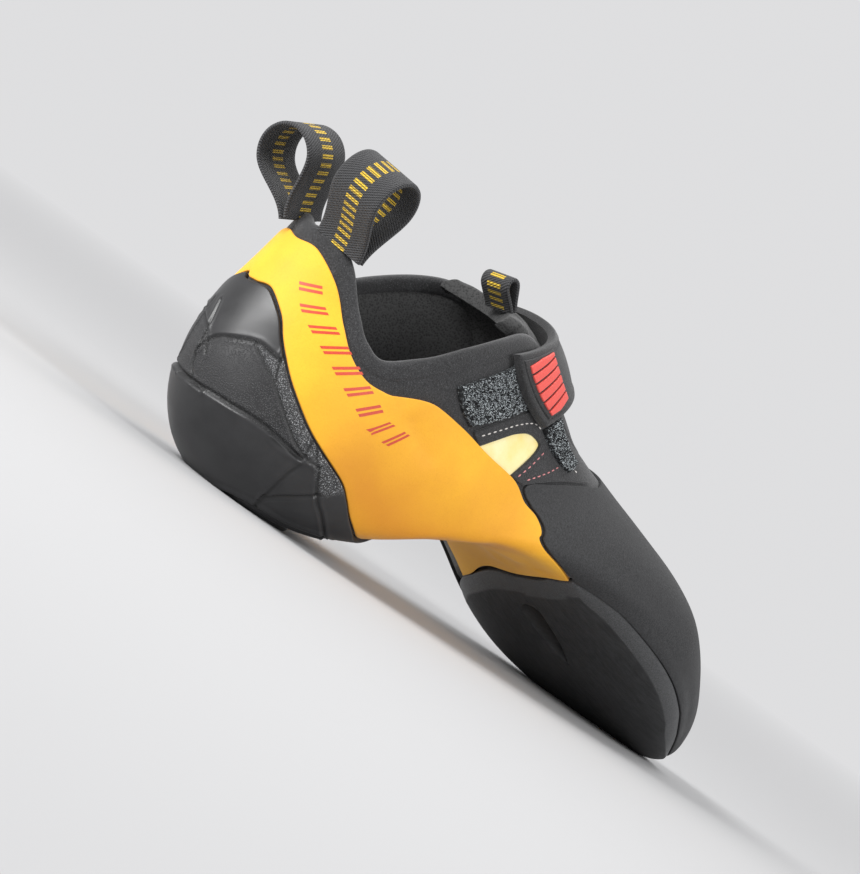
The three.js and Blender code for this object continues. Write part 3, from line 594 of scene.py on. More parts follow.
def plain_look(name, colour, roughness, fleck, scale, depth):
    """A plain finish whose colour and surface vary a little."""
    look = Material(name, roughness)
    fine = look.noise(scale, 3, 0.65)
    dark = tuple(channel * (1 - fleck * 2) for channel in colour)
    look.colour(look.blend(look.span(fine, 0.3, 0.65), dark, colour))
    look.bump(fine, depth, 0.6)
    return look.material


def window_leather():
    look = Material("window_leather", 0.7, Sheen_Weight=0.1)
    cloud = look.noise(90, 3)
    nap = look.noise(2300, 3, 0.7)
    tone = look.blend(look.span(cloud, 0.3, 0.7), (0.92, 0.74, 0.26), (0.95, 0.86, 0.50))
    tone = look.blend(look.span(nap, 0.25, 0.5, 0.15, 0.0), tone, (0.62, 0.46, 0.12))
    look.colour(tone)
    look.bump(nap, 0.00010, 0.6)
    return look.material


def knit_lining(name, dark, light):
    look = Material(name, 0.9, Sheen_Weight=0.15)
    holes = look.cells(1500)
    fuzz = look.noise(2400, 2, 0.7)
    look.colour(look.blend(look.span(holes, 0.1, 0.6), (dark,) * 3, (light,) * 3))
    look.bump(holes, 0.00015, 0.6)
    look.bump(fuzz, 0.0001, 0.5)
    return look.material


SUEDE = black_suede("black_suede")
SUEDE_DARK = black_suede("dark_suede", 0.006, 0.034)
YELLOW = yellow_leather()
CUP_RUBBER = moulded_rubber()
SOLE_RUBBER = sole_rubber()
HOOD_RUBBER = hood_rubber()
WEBBING = woven_webbing()
PILE = pile_ground()
BADGE = plain_look("badge_rubber", (0.86, 0.42, 0.014), 0.42, 0.06, 900, 0.00006)
RED = plain_look("red_patch", (0.80, 0.095, 0.075), 0.42, 0.06, 1200, 0.00006)
RED_PRINT = plain_look("red_print", (0.62, 0.055, 0.02), 0.5, 0.10, 2200, 0.00005)
CREAM = window_leather()
LINING = knit_lining("inner_lining", 0.014, 0.050)
TONGUE_KNIT = knit_lining("tongue_knit", 0.008, 0.040)
WHITE_THREAD = plain_look("white_thread", (0.82, 0.78, 0.74), 0.6, 0.15, 5000, 0.00005)
PINK_THREAD = plain_look("pink_thread", (0.78, 0.30, 0.30), 0.6, 0.15, 5000, 0.00005)
DARK_HAIR = plain_look("dark_hair", (0.012, 0.013, 0.015), 0.8, 0.1, 4000, 0.00002)
PALE_HAIR = plain_look("pale_hair", (0.55, 0.60, 0.62), 0.7, 0.1, 4000, 0.00002)


# Upper
def mirrored_opening():
    other = [(180 - angle, row) for angle, row in OPENING[1:-1]][::-1]
    loop = OPENING + other
    last, first, second = loop[-1], loop[0], loop[1]
    return [(last[0] - 360, last[1]), *loop, (first[0] + 360, first[1]), (second[0] + 360, second[1])]


OPENING_TABLE = np.array(mirrored_opening(), float)
OPENING_COUNT = len(OPENING_TABLE) - 3


def opening_at(share):
    values = along(OPENING_TABLE, 1 + np.asarray(share, float) * OPENING_COUNT)
    return values[..., 0], values[..., 1]


def sole_share(row, angle):
    turned = np.where(angle > 90, angle - 360, angle)
    outer = np.interp(row, SOLE_SIDES[:, 0], SOLE_SIDES[:, 1])
    inner = np.interp(row, SOLE_SIDES[:, 0], SOLE_SIDES[:, 2])
    return (outer - turned) / (outer - inner)


def sole_room(row, angle):
    """How far the upper gives way above the sole, 0 beside it and 1 over it."""
    share = sole_share(row, angle)
    margin, hem = 0.1, 0.3
    sideways = ramp((np.minimum(share, 1 - share) + margin / 2) / margin)
    rear = np.interp(np.clip(share, 0, 1), SOLE_REAR[:, 0], SOLE_REAR[:, 1])
    return sideways * ramp((row - rear + hem / 2) / hem)


def make_upper():
    around, outside_rows, inside_rows = 200, 130, 70
    heel_end = 8.2
    outside_gap, inside_gap = 0.04, 1.5
    under_sole = 2.9
    rim_foot, rim_run = -1.4, 0.12
    angle, edge = opening_at(np.arange(around) / around)

    def rows_to(end, count):
        k = np.linspace(0, 1, count)
        to_heel = edge[:, None] + (heel_end - edge[:, None]) * np.clip(k / 0.5, 0, 1)
        return np.where(k < 0.5, to_heel, mix(heel_end, end, np.clip((k - 0.5) / 0.5, 0, 1)))

    outer = rows_to(TOE_ROW - outside_gap, outside_rows)
    inner = rows_to(TOE_ROW - inside_gap, inside_rows)[:, ::-1]
    row = np.concatenate([outer, inner], 1)
    turn = np.broadcast_to(angle[:, None], row.shape)
    height = UPPER_FACE - under_sole * sole_room(row, turn)
    height[:, outside_rows:] -= UPPER_WALL + LINING_GAP
    rim = ramp((row[:, :outside_rows] - edge[:, None]) / rim_run)
    height[:, :outside_rows] = mix(rim_foot, height[:, :outside_rows], rim)
    points = skin_point(row, turn, height)
    faces = grid_faces(*row.shape, ring_rows=True, ring_columns=True)
    columns, hidden_joint = row.shape[1], outside_rows - 1
    faces = [face for k, face in enumerate(faces) if k % columns != hidden_joint]
    piece = new_object("upper_shell", points.reshape(-1, 3), faces, SUEDE)
    piece.data.materials.append(LINING)
    for polygon in piece.data.polygons:
        polygon.material_index = int(polygon.vertices[0] % columns >= hidden_joint)
    turn_outwards(piece, points, row, turn)
    stand(piece, "microfibre", "upper")


def make_binding():
    """Suede folded over the opening's edge."""
    around, steps = 300, 24
    middle, lift = -2.0, 0.9
    angle, row = opening_at(np.arange(around) / around)
    place = skin_point(row, angle, np.full(around, middle))
    outward = skin_normal(row, angle)
    tangent = unit(np.roll(place, -1, 0) - np.roll(place, 1, 0))
    upward = unit(np.cross(outward, tangent))
    profile = np.array([
        (1.35, -4.4), (1.60, -3.9), (1.72, -2.2), (1.70, -0.6), (1.35, 0.6), (0.6, 1.15), (-0.5, 1.2),
        (-1.3, 0.75), (-1.75, -0.3), (-1.8, -3.2), (-1.4, -3.8),
    ])
    fine = along(profile, np.linspace(0, len(profile) - 1, steps))
    points = np.stack([place + outward * out + upward * (up + lift) for out, up in fine], 1)
    faces = grid_faces(around, steps, ring_rows=True)
    piece = new_object("collar_edge", points.reshape(-1, 3), faces, SUEDE)
    stand(piece, "microfibre", "collar_binding")


# Sling band
def band_edges(share):
    """Rows and angles of both edges at shares round the band, with its corners kept sharp."""
    table = np.array(BAND, float)
    count = len(table)
    place = np.asarray(share, float) * count
    low = np.floor(place).astype(int) % count
    part = place - np.floor(place)
    out = np.empty((len(place), 4))
    for k in range(len(place)):
        b, c = table[low[k]], table[(low[k] + 1) % count]
        before, after = table[(low[k] - 1) % count], table[(low[k] + 2) % count]
        a = 2 * b - c if low[k] in BAND_CORNERS else before
        d = 2 * c - b if low[k] + 1 in BAND_CORNERS else after
        out[k] = along([a, b, c, d], 1 + part[k])
    return out


def make_band():
    around, across = 640, 56
    # Middle line and width of the darker amber in the arch: painted shade mixed with real staining
    arch_line = [(4.7, -4), (5.6, -4), (6.6, -14), (7.8, -30), (8.9, -50)]
    arch_width, dark_edge_width = 13, 0.35

    def place(s, w):
        edges = band_edges(s[:, 0])
        row = mix(edges[:, :1], edges[:, 2:3], w)
        return row, mix(edges[:, 1:2], edges[:, 3:4], w)

    def face(row, angle, base, distance):
        return BAND_FACE + crease_height(base)

    piece, row, angle, distance = patch(
        "sling_band_leather", place, around, across, face, YELLOW, ring=True, radius=0.45)
    base = form_point(row, angle)
    # Painted shade: darker amber along the arch, partly for shade and partly for real staining, and darker
    # again in the creases' troughs
    arch = line_distance(base, line_points(arch_line))
    shade = np.exp(-(arch / arch_width) ** 2)
    fold_shade = np.clip(-crease_height(base), 0, 1) * 0.5
    set_attribute(piece, "shade", np.clip(shade * 0.8 + fold_shade, 0, 1).ravel())
    # The band is darker within about a third of a millimetre of its edges.
    set_attribute(piece, "edge", (1 - ramp(distance / dark_edge_width)).ravel() * 0.8)
    stand(piece, "band", "sling_band")


# Heel cup
BALL_LINE = [(3.42, -100), (3.38, -89), (3.38, -79), (3.42, -69), (3.56, -53), (3.78, -41), (4.23, -27)]
TOP_BAND = [(2.88, -93), (2.56, -87), (2.43, -78), (2.34, -65), (2.43, -57), (2.55, -50)]
PANEL_LINE = [(2.38, -65), (2.70, -54), (3.01, -46), (3.51, -37), (3.96, -30), (4.19, -26)]
LIP_LINE = [(5.32, -99), (5.18, -91), (5.09, -82), (5.09, -72), (5.13, -65), (5.30, -57), (5.68, -53),
            (5.99, -49), (6.26, -45)]
CUP_GROOVES = [
    (0.55, 0.55, BALL_LINE),
    (0.45, 0.40, TOP_BAND),
    (0.45, 0.40, PANEL_LINE),
    (0.45, 0.45, [(2.25, -51), (2.56, -50), (2.92, -47)]),
    (0.50, 0.50, [(4.28, -27), (4.50, -34), (4.91, -46), (5.22, -56)]),
    (0.45, 0.45, [(5.00, -49), (4.95, -40), (4.95, -30), (4.95, -22)]),
    (0.50, 0.50, [(4.37, -20), (4.73, -22), (5.13, -25), (5.54, -29), (6.17, -41), (6.98, -61)]),
    (0.35, 0.30, [(4.19, -26), (3.96, -24), (3.78, -22)]),
    (0.35, 0.30, [(4.19, -26), (4.37, -21)]),
    (0.35, 0.30, [(3.96, -21), (4.37, -21)]),
    (0.35, 0.30, [(3.87, -41), (4.10, -33), (4.23, -27)]),
    (0.55, 0.60, LIP_LINE),
]
SPINE_GROOVES = [
    (0.45, 0.40, [(2.02, -100), (2.43, -95), (2.88, -93)]),
    (0.45, 0.40, [(2.88, -93), (3.15, -92), (3.36, -89)]),
    (0.45, 0.40, [(3.38, -116), (3.06, -109), (2.47, -108), (2.10, -109)]),
]


def all_cup_grooves():
    """Depth, width and line of every groove; those of one side are repeated on the other."""
    both = []
    for depth, width, spots in CUP_GROOVES:
        mirrored = [(row, -180 - angle) for row, angle in spots]
        both += [(depth, width, spots), (depth, width, mirrored)]
    return both + SPINE_GROOVES


def fold_angle(angle):
    return np.where(angle < -90, -180 - angle, angle)


def row_of_line(spots, angle):
    """Row of a given line at each angle, the same on both sides of the heel."""
    past_middle = -94
    table = sorted(((a, r) for r, a in spots if a > past_middle))
    return np.interp(fold_angle(angle), [a for a, r in table], [r for a, r in table])


def cup_surface(row, angle, base):
    """Height of the cup's face, how grainy and flecked it is, and how much painted shade darkens it along its
    grooves.
    """
    folded = fold_angle(angle)
    step, turn_step = 0.05, 3
    band_end, strip_start, strip_end = -46, -23, 4.85
    band_rise, lip_rise, lip_away, lip_width = 0.45, 0.8, 1.7, 1.0
    rim_rise, rim_away, rim_width, groove_shade_width = 0.16, 1.1, 0.5, 0.42
    near_ball = ramp((row - row_of_line(BALL_LINE, angle)) / step)
    top_band = ramp((row_of_line(TOP_BAND, angle) - row) / step) * ramp((band_end - folded) / turn_step)
    height = CUP_FACE + BALL_RISE * near_ball + band_rise * top_band
    lip = line_distance(base, line_points(LIP_LINE))
    height += lip_rise * np.exp(-((lip - lip_away) / lip_width) ** 2)
    groove = np.zeros(row.shape)
    for depth, width, spots in all_cup_grooves():
        away = line_distance(base, line_points(spots))
        height += rim_rise * np.exp(-((away - rim_away) / rim_width) ** 2)
        height -= depth * np.exp(-(away / width) ** 2)
        # Painted shade along each groove, kept in the groove attribute for the material
        groove = np.maximum(groove, np.exp(-(away / groove_shade_width) ** 2))
    panel = (1 - near_ball) * (1 - top_band)
    strip = ramp((row_of_line(PANEL_LINE, angle) + 0.02 - row) / 0.04) * panel
    side_strip = ramp((folded - strip_start) / turn_step) * (1 - ramp((row - strip_end) / 0.2))
    strip = np.maximum(strip, side_strip)
    return height, np.clip(panel + strip, 0, 1), np.clip(strip, 0, 1), groove


def make_cup():
    around, across = 500, 148
    middle = (5.83, -85.0)
    rim_shrink, edge_radius = 0.012, 0.55
    pocket, pocket_floor, low = BADGE_RADIUS + 1.0, 2.6, 12
    edges = band_edges(np.arange(around) / around)
    w = np.concatenate([[0, 0.002, 0.005, 0.009], np.linspace(0.014, 0.985, across)])
    hop = (1 - w)[None, :] * (1 - rim_shrink)
    row = mix(middle[0], edges[:, 2:3], hop)
    angle = mix(middle[1], edges[:, 3:4], hop)
    base = form_point(row, angle)
    height, grain, strip, groove = cup_surface(row, angle, base)
    height -= round_over(arc_lengths(base, 1), edge_radius)
    points = skin_point(row, angle, height)
    in_pocket = (np.hypot(points[..., 0], points[..., 1]) < pocket) & (points[..., 2] < low)
    points[..., 2] = np.where(in_pocket, pocket_floor, np.maximum(points[..., 2], 0))
    skirt = skin_point(row[:, 0], angle[:, 0], np.full(around, LAYER_FOOT))
    points = np.concatenate([skirt[:, None], points], 1)
    row, angle, grain, strip, groove = (
        np.concatenate([values[:, :1], values], 1) for values in (row, angle, grain, strip, groove))
    faces = grid_faces(*row.shape, ring_rows=True)
    last = row.shape[1] - 1
    faces.append(tuple(i * row.shape[1] + last for i in range(around - 1, -1, -1)))
    piece = new_object("heel_cup_shell", points.reshape(-1, 3), faces, CUP_RUBBER)
    turn_outwards(piece, points, row, angle)
    for name, values in (("grain", grain), ("strip", strip), ("groove", groove)):
        set_attribute(piece, name, values.ravel())
    stand(piece, "rubber", "heel_cup")


def lathe(name, profile, material, steps=160):
    """A closed ring or disc from radii and heights round the badge's axis."""
    turns = 2 * np.pi * np.arange(steps) / steps
    points = [(r * math.cos(t), r * math.sin(t), z) for t in turns for r, z in profile]
    return new_object(name, points, grid_faces(steps, len(profile), ring_rows=True), material)


def make_badge():
    lip = [(15.6, 1.6), (15.5, 0.7), (15.1, 0.18), (14.5, 0.0), (13.9, 0.05), (13.4, 0.35), (13.15, 1.0),
           (13.1, 2.6)]
    stand(lathe("badge_socket", lip, CUP_RUBBER), "rubber")
    middle, field, back, rim = 0.01, 0.85, 2.4, BADGE_RADIUS - 0.1
    disc = [(middle, field), (4.0, field), (9.2, field), (9.55, 0.80), (9.75, 0.55), (9.95, 0.12),
            (10.3, 0.0), (rim - 0.7, 0.0), (rim - 0.25, 0.12), (rim, 0.5), (rim, back), (middle, back)]
    stand(lathe("badge_disc", disc, BADGE), "badge", "heel_badge")
    make_badge_relief()


def make_badge_relief():
    """Plain raised bars on the badge, even and without meaning."""
    thick = 0.85
    bars = ((-5.4, 4.6), (-1.8, 7.2), (1.8, 7.2), (5.4, 4.6))
    levels = ((0, 0.87), (0.08, 0.40), (0.35, 0.20))
    points, faces = [], []
    for y, half in bars:
        base = len(points)
        for inset, z in levels:
            for x_sign, y_sign in ((-1, -1), (1, -1), (1, 1), (-1, 1)):
                points.append((x_sign * (half - inset), y + y_sign * (thick - inset), z))
        faces.append((base + 8, base + 11, base + 10, base + 9))
        for low in (base, base + 4):
            for j in range(4):
                n = (j + 1) % 4
                faces.append((low + j, low + 4 + j, low + 4 + n, low + n))
    piece = new_object("badge_bars", points, faces, BADGE, smooth=False)
    stand(piece, "badge")


# Outsole
def sole_place(across_share, length_share):
    rear = np.interp(across_share, SOLE_REAR[:, 0], SOLE_REAR[:, 1])
    row = mix(rear, TOE_ROW - TOE_GAP, length_share)
    outer = np.interp(row, SOLE_SIDES[:, 0], SOLE_SIDES[:, 1])
    inner = np.interp(row, SOLE_SIDES[:, 0], SOLE_SIDES[:, 2])
    return row, mix(outer, inner, across_share)


def slot_outline(half, length):
    """Tear shape, round at the rear and pointed at the front."""
    turns = np.linspace(0, -math.pi, 24)
    tail = np.linspace(0, 1, 20)[1:]
    start = half * 1.2
    round_end = [(half * math.cos(t), start + half * math.sin(t)) for t in turns]
    left = [(-half * (1 - t ** 1.7), start + (length - start) * t) for t in tail]
    right = [(half * (1 - t ** 2.4), start + (length - start) * t) for t in tail[-2::-1]]
    return round_end + left + right


def make_sole():
    across, lengthways = 120, 170
    rear_run, outer_run, inner_run, least_run = 8.5, 4.6, 0.9, 1.2
    rear_drop, outer_drop, inner_drop = 0.75, 1.0, 0.5
    edge_radius, under_floor = 0.4, 0.4
    w, s = np.meshgrid(spread(lengthways), spread(across), indexing="ij")
    row, angle = sole_place(s, w)
    base = form_point(row, angle)
    from_rear = arc_lengths(base, 0)
    side = arc_lengths(base, 1)
    from_outer, from_inner = side, side[:, -1:] - side
    outer_width = outer_run * ramp((16.6 - row) / 2) * ramp((row - 10.2) / 0.8) + least_run
    rear_bevel = 1 - np.clip(from_rear / rear_run, 0, 1)
    outer_bevel = 1 - np.clip(from_outer / outer_width, 0, 1)
    inner_bevel = 1 - np.clip(from_inner / inner_run, 0, 1)
    drop = np.maximum.reduce([rear_drop * rear_bevel, outer_drop * outer_bevel, inner_drop * inner_bevel])
    distance = np.minimum.reduce([from_rear, from_outer, from_inner])
    height = SOLE_FACE - drop - round_over(distance, edge_radius)
    top = skin_point(row, angle, height)
    bottom = skin_point(row, angle, np.full(row.shape, SOLE_FACE - SOLE_THICKNESS))
    top[..., 2] = np.maximum(top[..., 2], 0)
    bottom[..., 2] = np.maximum(bottom[..., 2], under_floor)
    rows, columns = row.shape
    count = rows * columns
    points = np.concatenate([top.reshape(-1, 3), bottom.reshape(-1, 3)])
    faces = grid_faces(rows, columns)
    faces += [tuple(count + k for k in reversed(face)) for face in grid_faces(rows, columns)]
    rim = [i * columns for i in range(rows)] + [(rows - 1) * columns + j for j in range(1, columns)]
    rim += [i * columns + columns - 1 for i in range(rows - 2, -1, -1)] + list(range(columns - 2, 0, -1))
    for k, a in enumerate(rim):
        b = rim[(k + 1) % len(rim)]
        faces.append((a, b, b + count, a + count))
    piece = new_object("outsole_rubber", points, faces, SOLE_RUBBER)
    mesh_normals_outside(piece)
    bevel = np.maximum(ramp((rear_run + 0.2 - from_rear) / 0.5), ramp((outer_width - from_outer) / 0.4))
    set_attribute(piece, "bevel", np.concatenate([bevel.ravel(), np.zeros(count)]))
    cut_slot(piece)
    stand(piece, "sole_rubber", "outsole")
    make_slot_ground()


def mesh_normals_outside(piece):
    work = bmesh.new()
    work.from_mesh(piece.data)
    bmesh.ops.recalc_face_normals(work, faces=work.faces)
    work.to_mesh(piece.data)
    work.free()


def cut_slot(piece):
    rear = form_point(SLOT_ROW, -90.0)
    outline = slot_outline(SLOT_HALF, SLOT_LENGTH)
    count = len(outline)
    points = [(rear[0] + SLOT_SHIFT + x, rear[1] + y, z) for z in (-30.0, 60.0) for x, y in outline]
    faces = [tuple(range(count)), tuple(range(2 * count - 1, count - 1, -1))]
    faces += [(k, count + k, count + (k + 1) % count, (k + 1) % count) for k in range(count)]
    cutter = new_object("slot_cutter", points, faces, SOLE_RUBBER, smooth=False)
    mesh_normals_outside(cutter)
    cut = piece.modifiers.new("slot", "BOOLEAN")
    cut.operation = "DIFFERENCE"
    cut.object = cutter
    cut.solver = "EXACT"
    apply_modifiers(piece)
    bpy.data.objects.remove(cutter)


def apply_modifiers(piece):
    depsgraph = bpy.context.evaluated_depsgraph_get()
    finished = bpy.data.meshes.new_from_object(piece.evaluated_get(depsgraph))
    piece.modifiers.clear()
    old = piece.data
    piece.data = finished
    finished.name = old.name
    bpy.data.meshes.remove(old)


def make_slot_ground():
    """Yellow layer that shows at the bottom of the sole's slot."""
    def place(s, w):
        return mix(11.2, 13.4, s), mix(-76, -106, w)

    piece, row, *rest = patch("slot_ground", place, 40, 30, UPPER_FACE - SLOT_DEPTH, YELLOW, foot=-3.4)
    # Painted shade: the yellow at the bottom of the slot is darkened by a fixed share.
    set_attribute(piece, "shade", np.full(row.size, 0.35))
    set_attribute(piece, "edge", np.zeros(row.size))
    stand(piece, "band")


# Toe hood
def make_hood():
    last = len(HOOD_REAR) - 1
    seam_turn, seam_depth, seam_width = 1.1, 0.35, 2.2
    seam_line = [(10.4, -30), (11.6, -14), (13.0, -6), (14.4, -1), (15.6, -6)]

    def spread_angle(row, share):
        seam = seam_turn * (1 + 2 * ramp((row - 16) / 2.5))
        outer = np.interp(row, SOLE_SIDES[:, 0], SOLE_SIDES[:, 1]) + seam
        inner = np.interp(row, SOLE_SIDES[:, 0], SOLE_SIDES[:, 2]) + 360 - seam
        return mix(outer, inner, share)

    def place(s, w):
        rear = along(HOOD_REAR, w * last)
        angle, row_rear = rear[..., 0], rear[..., 1]
        share = (angle - HOOD_REAR[0, 0]) / (HOOD_REAR[last, 0] - HOOD_REAR[0, 0])
        row = mix(row_rear + 0.03, TOE_ROW - TOE_GAP, s)
        return row, spread_angle(row, share) + (angle - spread_angle(row_rear, share)) * (1 - s)

    def face(row, angle, base, distance):
        seam = line_distance(base, line_points(seam_line))
        return RAND_FACE - seam_depth * np.exp(-(seam / seam_width) ** 2) + 0.5 * crease_height(base)

    piece, *rest = patch("toe_hood", place, 190, 260, face, HOOD_RUBBER, radius=0.6)
    stand(piece, "rubber", "front_rand")


# Quarter, window and piles
def make_quarter():
    last = len(QUARTER) - 1

    def place(s, w):
        edges = along(QUARTER, s * last)
        return mix(edges[..., 0], edges[..., 2], w), mix(edges[..., 1], edges[..., 3], w)

    piece, *rest = patch("quarter_frame", place, 260, 30, QUARTER_FACE, SUEDE, radius=0.45)
    stand(piece, "microfibre", "quarter")


def make_window():
    last = len(QUARTER) - 1
    tuck, sunk, cushion, cushion_run = 1.03, -0.40, 0.35, 5

    def place(s, w):
        edges = along(QUARTER, s * last)
        row = mix(mix(WINDOW_FOOT[0, 0], WINDOW_FOOT[1, 0], s), edges[..., 2], w * tuck)
        return row, mix(mix(WINDOW_FOOT[0, 1], WINDOW_FOOT[1, 1], s), edges[..., 3], w * tuck)

    def face(row, angle, base, distance):
        return sunk + cushion * ramp(distance / cushion_run)

    piece, *rest = patch("window_leather", place, 90, 40, face, CREAM, radius=0.1)
    stand(piece, "pale_panel", "window_panel")


def scatter_pile(name, corners, face, count, seed, margin=0.03):
    """Short bent hairs over a patch, a third of them pale."""
    random = np.random.default_rng(seed)
    place = corner_place(corners)
    thick, pale_share = 0.075, 0.30
    s = random.uniform(margin, 1 - margin, count)
    w = random.uniform(margin, 1 - margin, count)
    row, angle = place(s, w)
    root = skin_point(row, angle, np.full(count, face - 0.1))
    normal = skin_normal(row, angle)
    lean = unit(np.cross(normal, random.normal(size=(count, 3))))
    side = unit(np.cross(normal, lean))
    tall = random.uniform(0.25, 0.7, count)[:, None]
    bow = random.uniform(0.12, 0.42, count)[:, None]
    stations = [(0, 0), (0.8, 0.4), (1.0, 1.0), (0.5, 1.7)]
    rings = []
    for up, out in stations:
        spot = root + normal * tall * up + lean * bow * out
        rings += [spot - side * thick, spot + side * thick]
    points = np.stack(rings, 1)
    size = points.shape[1]
    faces = []
    for k in range(count):
        for j in range(0, size - 2, 2):
            a = k * size + j
            faces.append((a, a + 1, a + 3, a + 2))
    piece = new_object(name, points.reshape(-1, 3), faces, DARK_HAIR)
    piece.data.materials.append(PALE_HAIR)
    pale = random.random(count) < pale_share
    per_hair = (size - 2) // 2
    piece.data.polygons.foreach_set("material_index", np.repeat(pale, per_hair).astype(int))
    stand(piece, "loop_pile")


def make_piles():
    rear_face, front_face = 0.75, 1.6
    piece, *rest = patch("rear_pile", corner_place(FIELD), 60, 60, rear_face, PILE)
    stand(piece, "loop_pile", "loop_field")
    scatter_pile("rear_pile_hairs", FIELD, rear_face, 15000, 11)
    piece, *rest = patch("front_pile", corner_place(FIELD_FRONT), 50, 20, front_face, PILE, foot=0.2)
    stand(piece, "loop_pile", "loop_field_front")
    scatter_pile("front_pile_hairs", FIELD_FRONT, front_face, 4200, 12)


# Strap
def make_strap():
    """Closed strip over the instep, sewn down at its inner end."""
    hem_depth, hem_width, edge_radius = 0.35, 2.2, 0.8
    sewn_lift, sewn_from, sewn_run = LAYER_FOOT + 0.3, 0.72, 0.2
    s, w = np.meshgrid(spread(46), spread(150), indexing="ij")
    row, angle = corner_place(STRAP)(s, w)
    distance = edge_distance(form_point(row, angle), False)
    under = mix(STRAP_LIFT, sewn_lift, ramp((w - sewn_from) / sewn_run))
    hem = hem_depth * ramp((distance - hem_width) / 0.4)
    height = under + STRAP_THICKNESS - hem - round_over(distance, edge_radius)
    row, angle, foot = (np.pad(values, 1, mode="edge") for values in (row, angle, under))
    face_height = foot.copy()
    face_height[1:-1, 1:-1] = height
    points = skin_point(row, angle, face_height)
    under_points = skin_point(row, angle, foot)
    faces = grid_faces(*row.shape)
    faces += [tuple(row.size + k for k in reversed(face)) for face in faces]
    points_all = np.concatenate([points.reshape(-1, 3), under_points.reshape(-1, 3)])
    piece = new_object("instep_strap", points_all, faces, SUEDE_DARK)
    turn_outwards(piece, points, row, angle)
    stand(piece, "webbing", "strap")


def make_strap_patch():
    face = STRAP_LIFT + STRAP_THICKNESS + 0.3
    place = corner_place(STRAP_PATCH)
    piece, *rest = patch("strap_patch_base", place, 40, 24, face, SUEDE_DARK, foot=face - 0.6, radius=0.3)
    stand(piece, "webbing")
    slats = 6
    start, run, gap, slat_share, slant, margin = 0.03, 0.94, 0.06, 0.80, 0.13, 0.04
    for k in range(slats):
        def slat(s, w, k=k):
            lengthways = start + run * (k + gap + slat_share * s) / slats + slant * (0.5 - w)
            return place(np.clip(lengthways, margin, 1 - margin), mix(0.10, 0.90, w))
        made, *rest = patch(f"strap_patch_slat_{k}", slat, 12, 24, face + 0.6, RED, foot=face - 0.1,
                            radius=0.25)
        stand(made, "red_patch", *(("strap_patch",) if k == 0 else ()))


# Tongue and insole
THROAT_HALF = np.array([(1.6, 45), (2.8, 30), (4.1, 24), (5.6, 18), (7.0, 10), (7.6, 0)], float)


def make_tongue():
    place = corner_place(TONGUE)
    rest_height, crown, thick = -4.6, 2.4, 2.4
    rib_depth, rib_turn = 0.12, 1.5

    def face(row, angle, base, distance):
        half = np.interp(row, THROAT_HALF[:, 0], THROAT_HALF[:, 1])
        inside = half - np.abs(angle - 90) - 4
        ribs = rib_depth * np.sin(base[..., 1] * rib_turn)
        return rest_height + crown * ramp(inside / 9) + ribs

    foot = rest_height - thick
    piece, *rest = patch("tongue_pad", place, 110, 90, face, TONGUE_KNIT, foot=foot, radius=1.2)
    stand(piece, "microfibre", "tongue")
    under, *rest = patch("tongue_lining", place, 60, 50, rest_height - 2.3, LINING, foot=foot)
    under.data.flip_normals()
    stand(under, "lining")


def make_insole():
    sole_sink, thick = 3.1, 2.0

    def face(row, angle, base, distance):
        return UPPER_FACE - UPPER_WALL - LINING_GAP - sole_sink * sole_room(row, angle) - thick

    piece, *rest = patch("footbed", corner_place(INSOLE), 110, 60, face, LINING, foot=-4.2, radius=0.3)
    piece.data.flip_normals()
    stand(piece, "lining", "insole")


# Webbing loops
def drop_path(height, depth):
    """Middle line of a drop-shaped loop that stands on its point."""
    steps = 30
    half = depth / 2 - WEBBING_THICKNESS / 2
    waist = height - depth / 2
    stem = WEBBING_THICKNESS * 0.55
    t = np.linspace(0, 1, steps)[:, None]
    corners = [(stem, 0), (stem, height * 0.25), (half, waist - depth * 0.3), (half, waist)]
    p0, p1, p2, p3 = (np.array(corner, float) for corner in corners)
    up = p0 * (1 - t) ** 3 + 3 * p1 * t * (1 - t) ** 2 + 3 * p2 * t ** 2 * (1 - t) + p3 * t ** 3
    turns = np.linspace(0, math.pi, steps)
    top = np.stack([half * np.cos(turns), waist + half * np.sin(turns)], 1)
    down = up[::-1] * [-1, 1]
    return np.concatenate([up, top[1:], down[1:]])


def make_loop(name, node, seat, rise, span, width, height, depth):
    """A webbing loop on its seat; it rises one way and its width spans another."""
    path = drop_path(height, depth)
    soft_edge, soft_share = 0.93, 0.35
    rise = unit(np.array(rise, float))
    span = np.array(span, float)
    span = unit(span - rise * (span @ rise))
    facing = np.cross(rise, span)
    tangent = unit(np.gradient(path, axis=0))
    normal = np.stack([-tangent[:, 1], tangent[:, 0]], 1)
    half_width, half_thick = width / 2, WEBBING_THICKNESS / 2 - 0.05
    lay = np.linspace(-1, 1, 25)
    outline = [(half_width * u, half_thick) for u in lay] + [(-half_width * u, -half_thick) for u in lay]
    points, thread = [], []
    lengths = arc_lengths(path[None], 1)[0]
    for k in range(len(path)):
        for u, v in outline:
            near_edge = max(0.0, abs(u) / half_width - soft_edge) / (1 - soft_edge)
            flat = path[k] + normal[k] * v * (1 - soft_share * near_edge)
            points.append(seat + facing * flat[0] + rise * flat[1] + span * u)
            thread.append((lengths[k], u, 0.0))
    faces = grid_faces(len(path), len(outline), ring_columns=True)
    piece = new_object(name, points, faces, WEBBING)
    mesh_normals_outside(piece)
    set_attribute(piece, "thread", thread)
    stand(piece, "webbing", node)


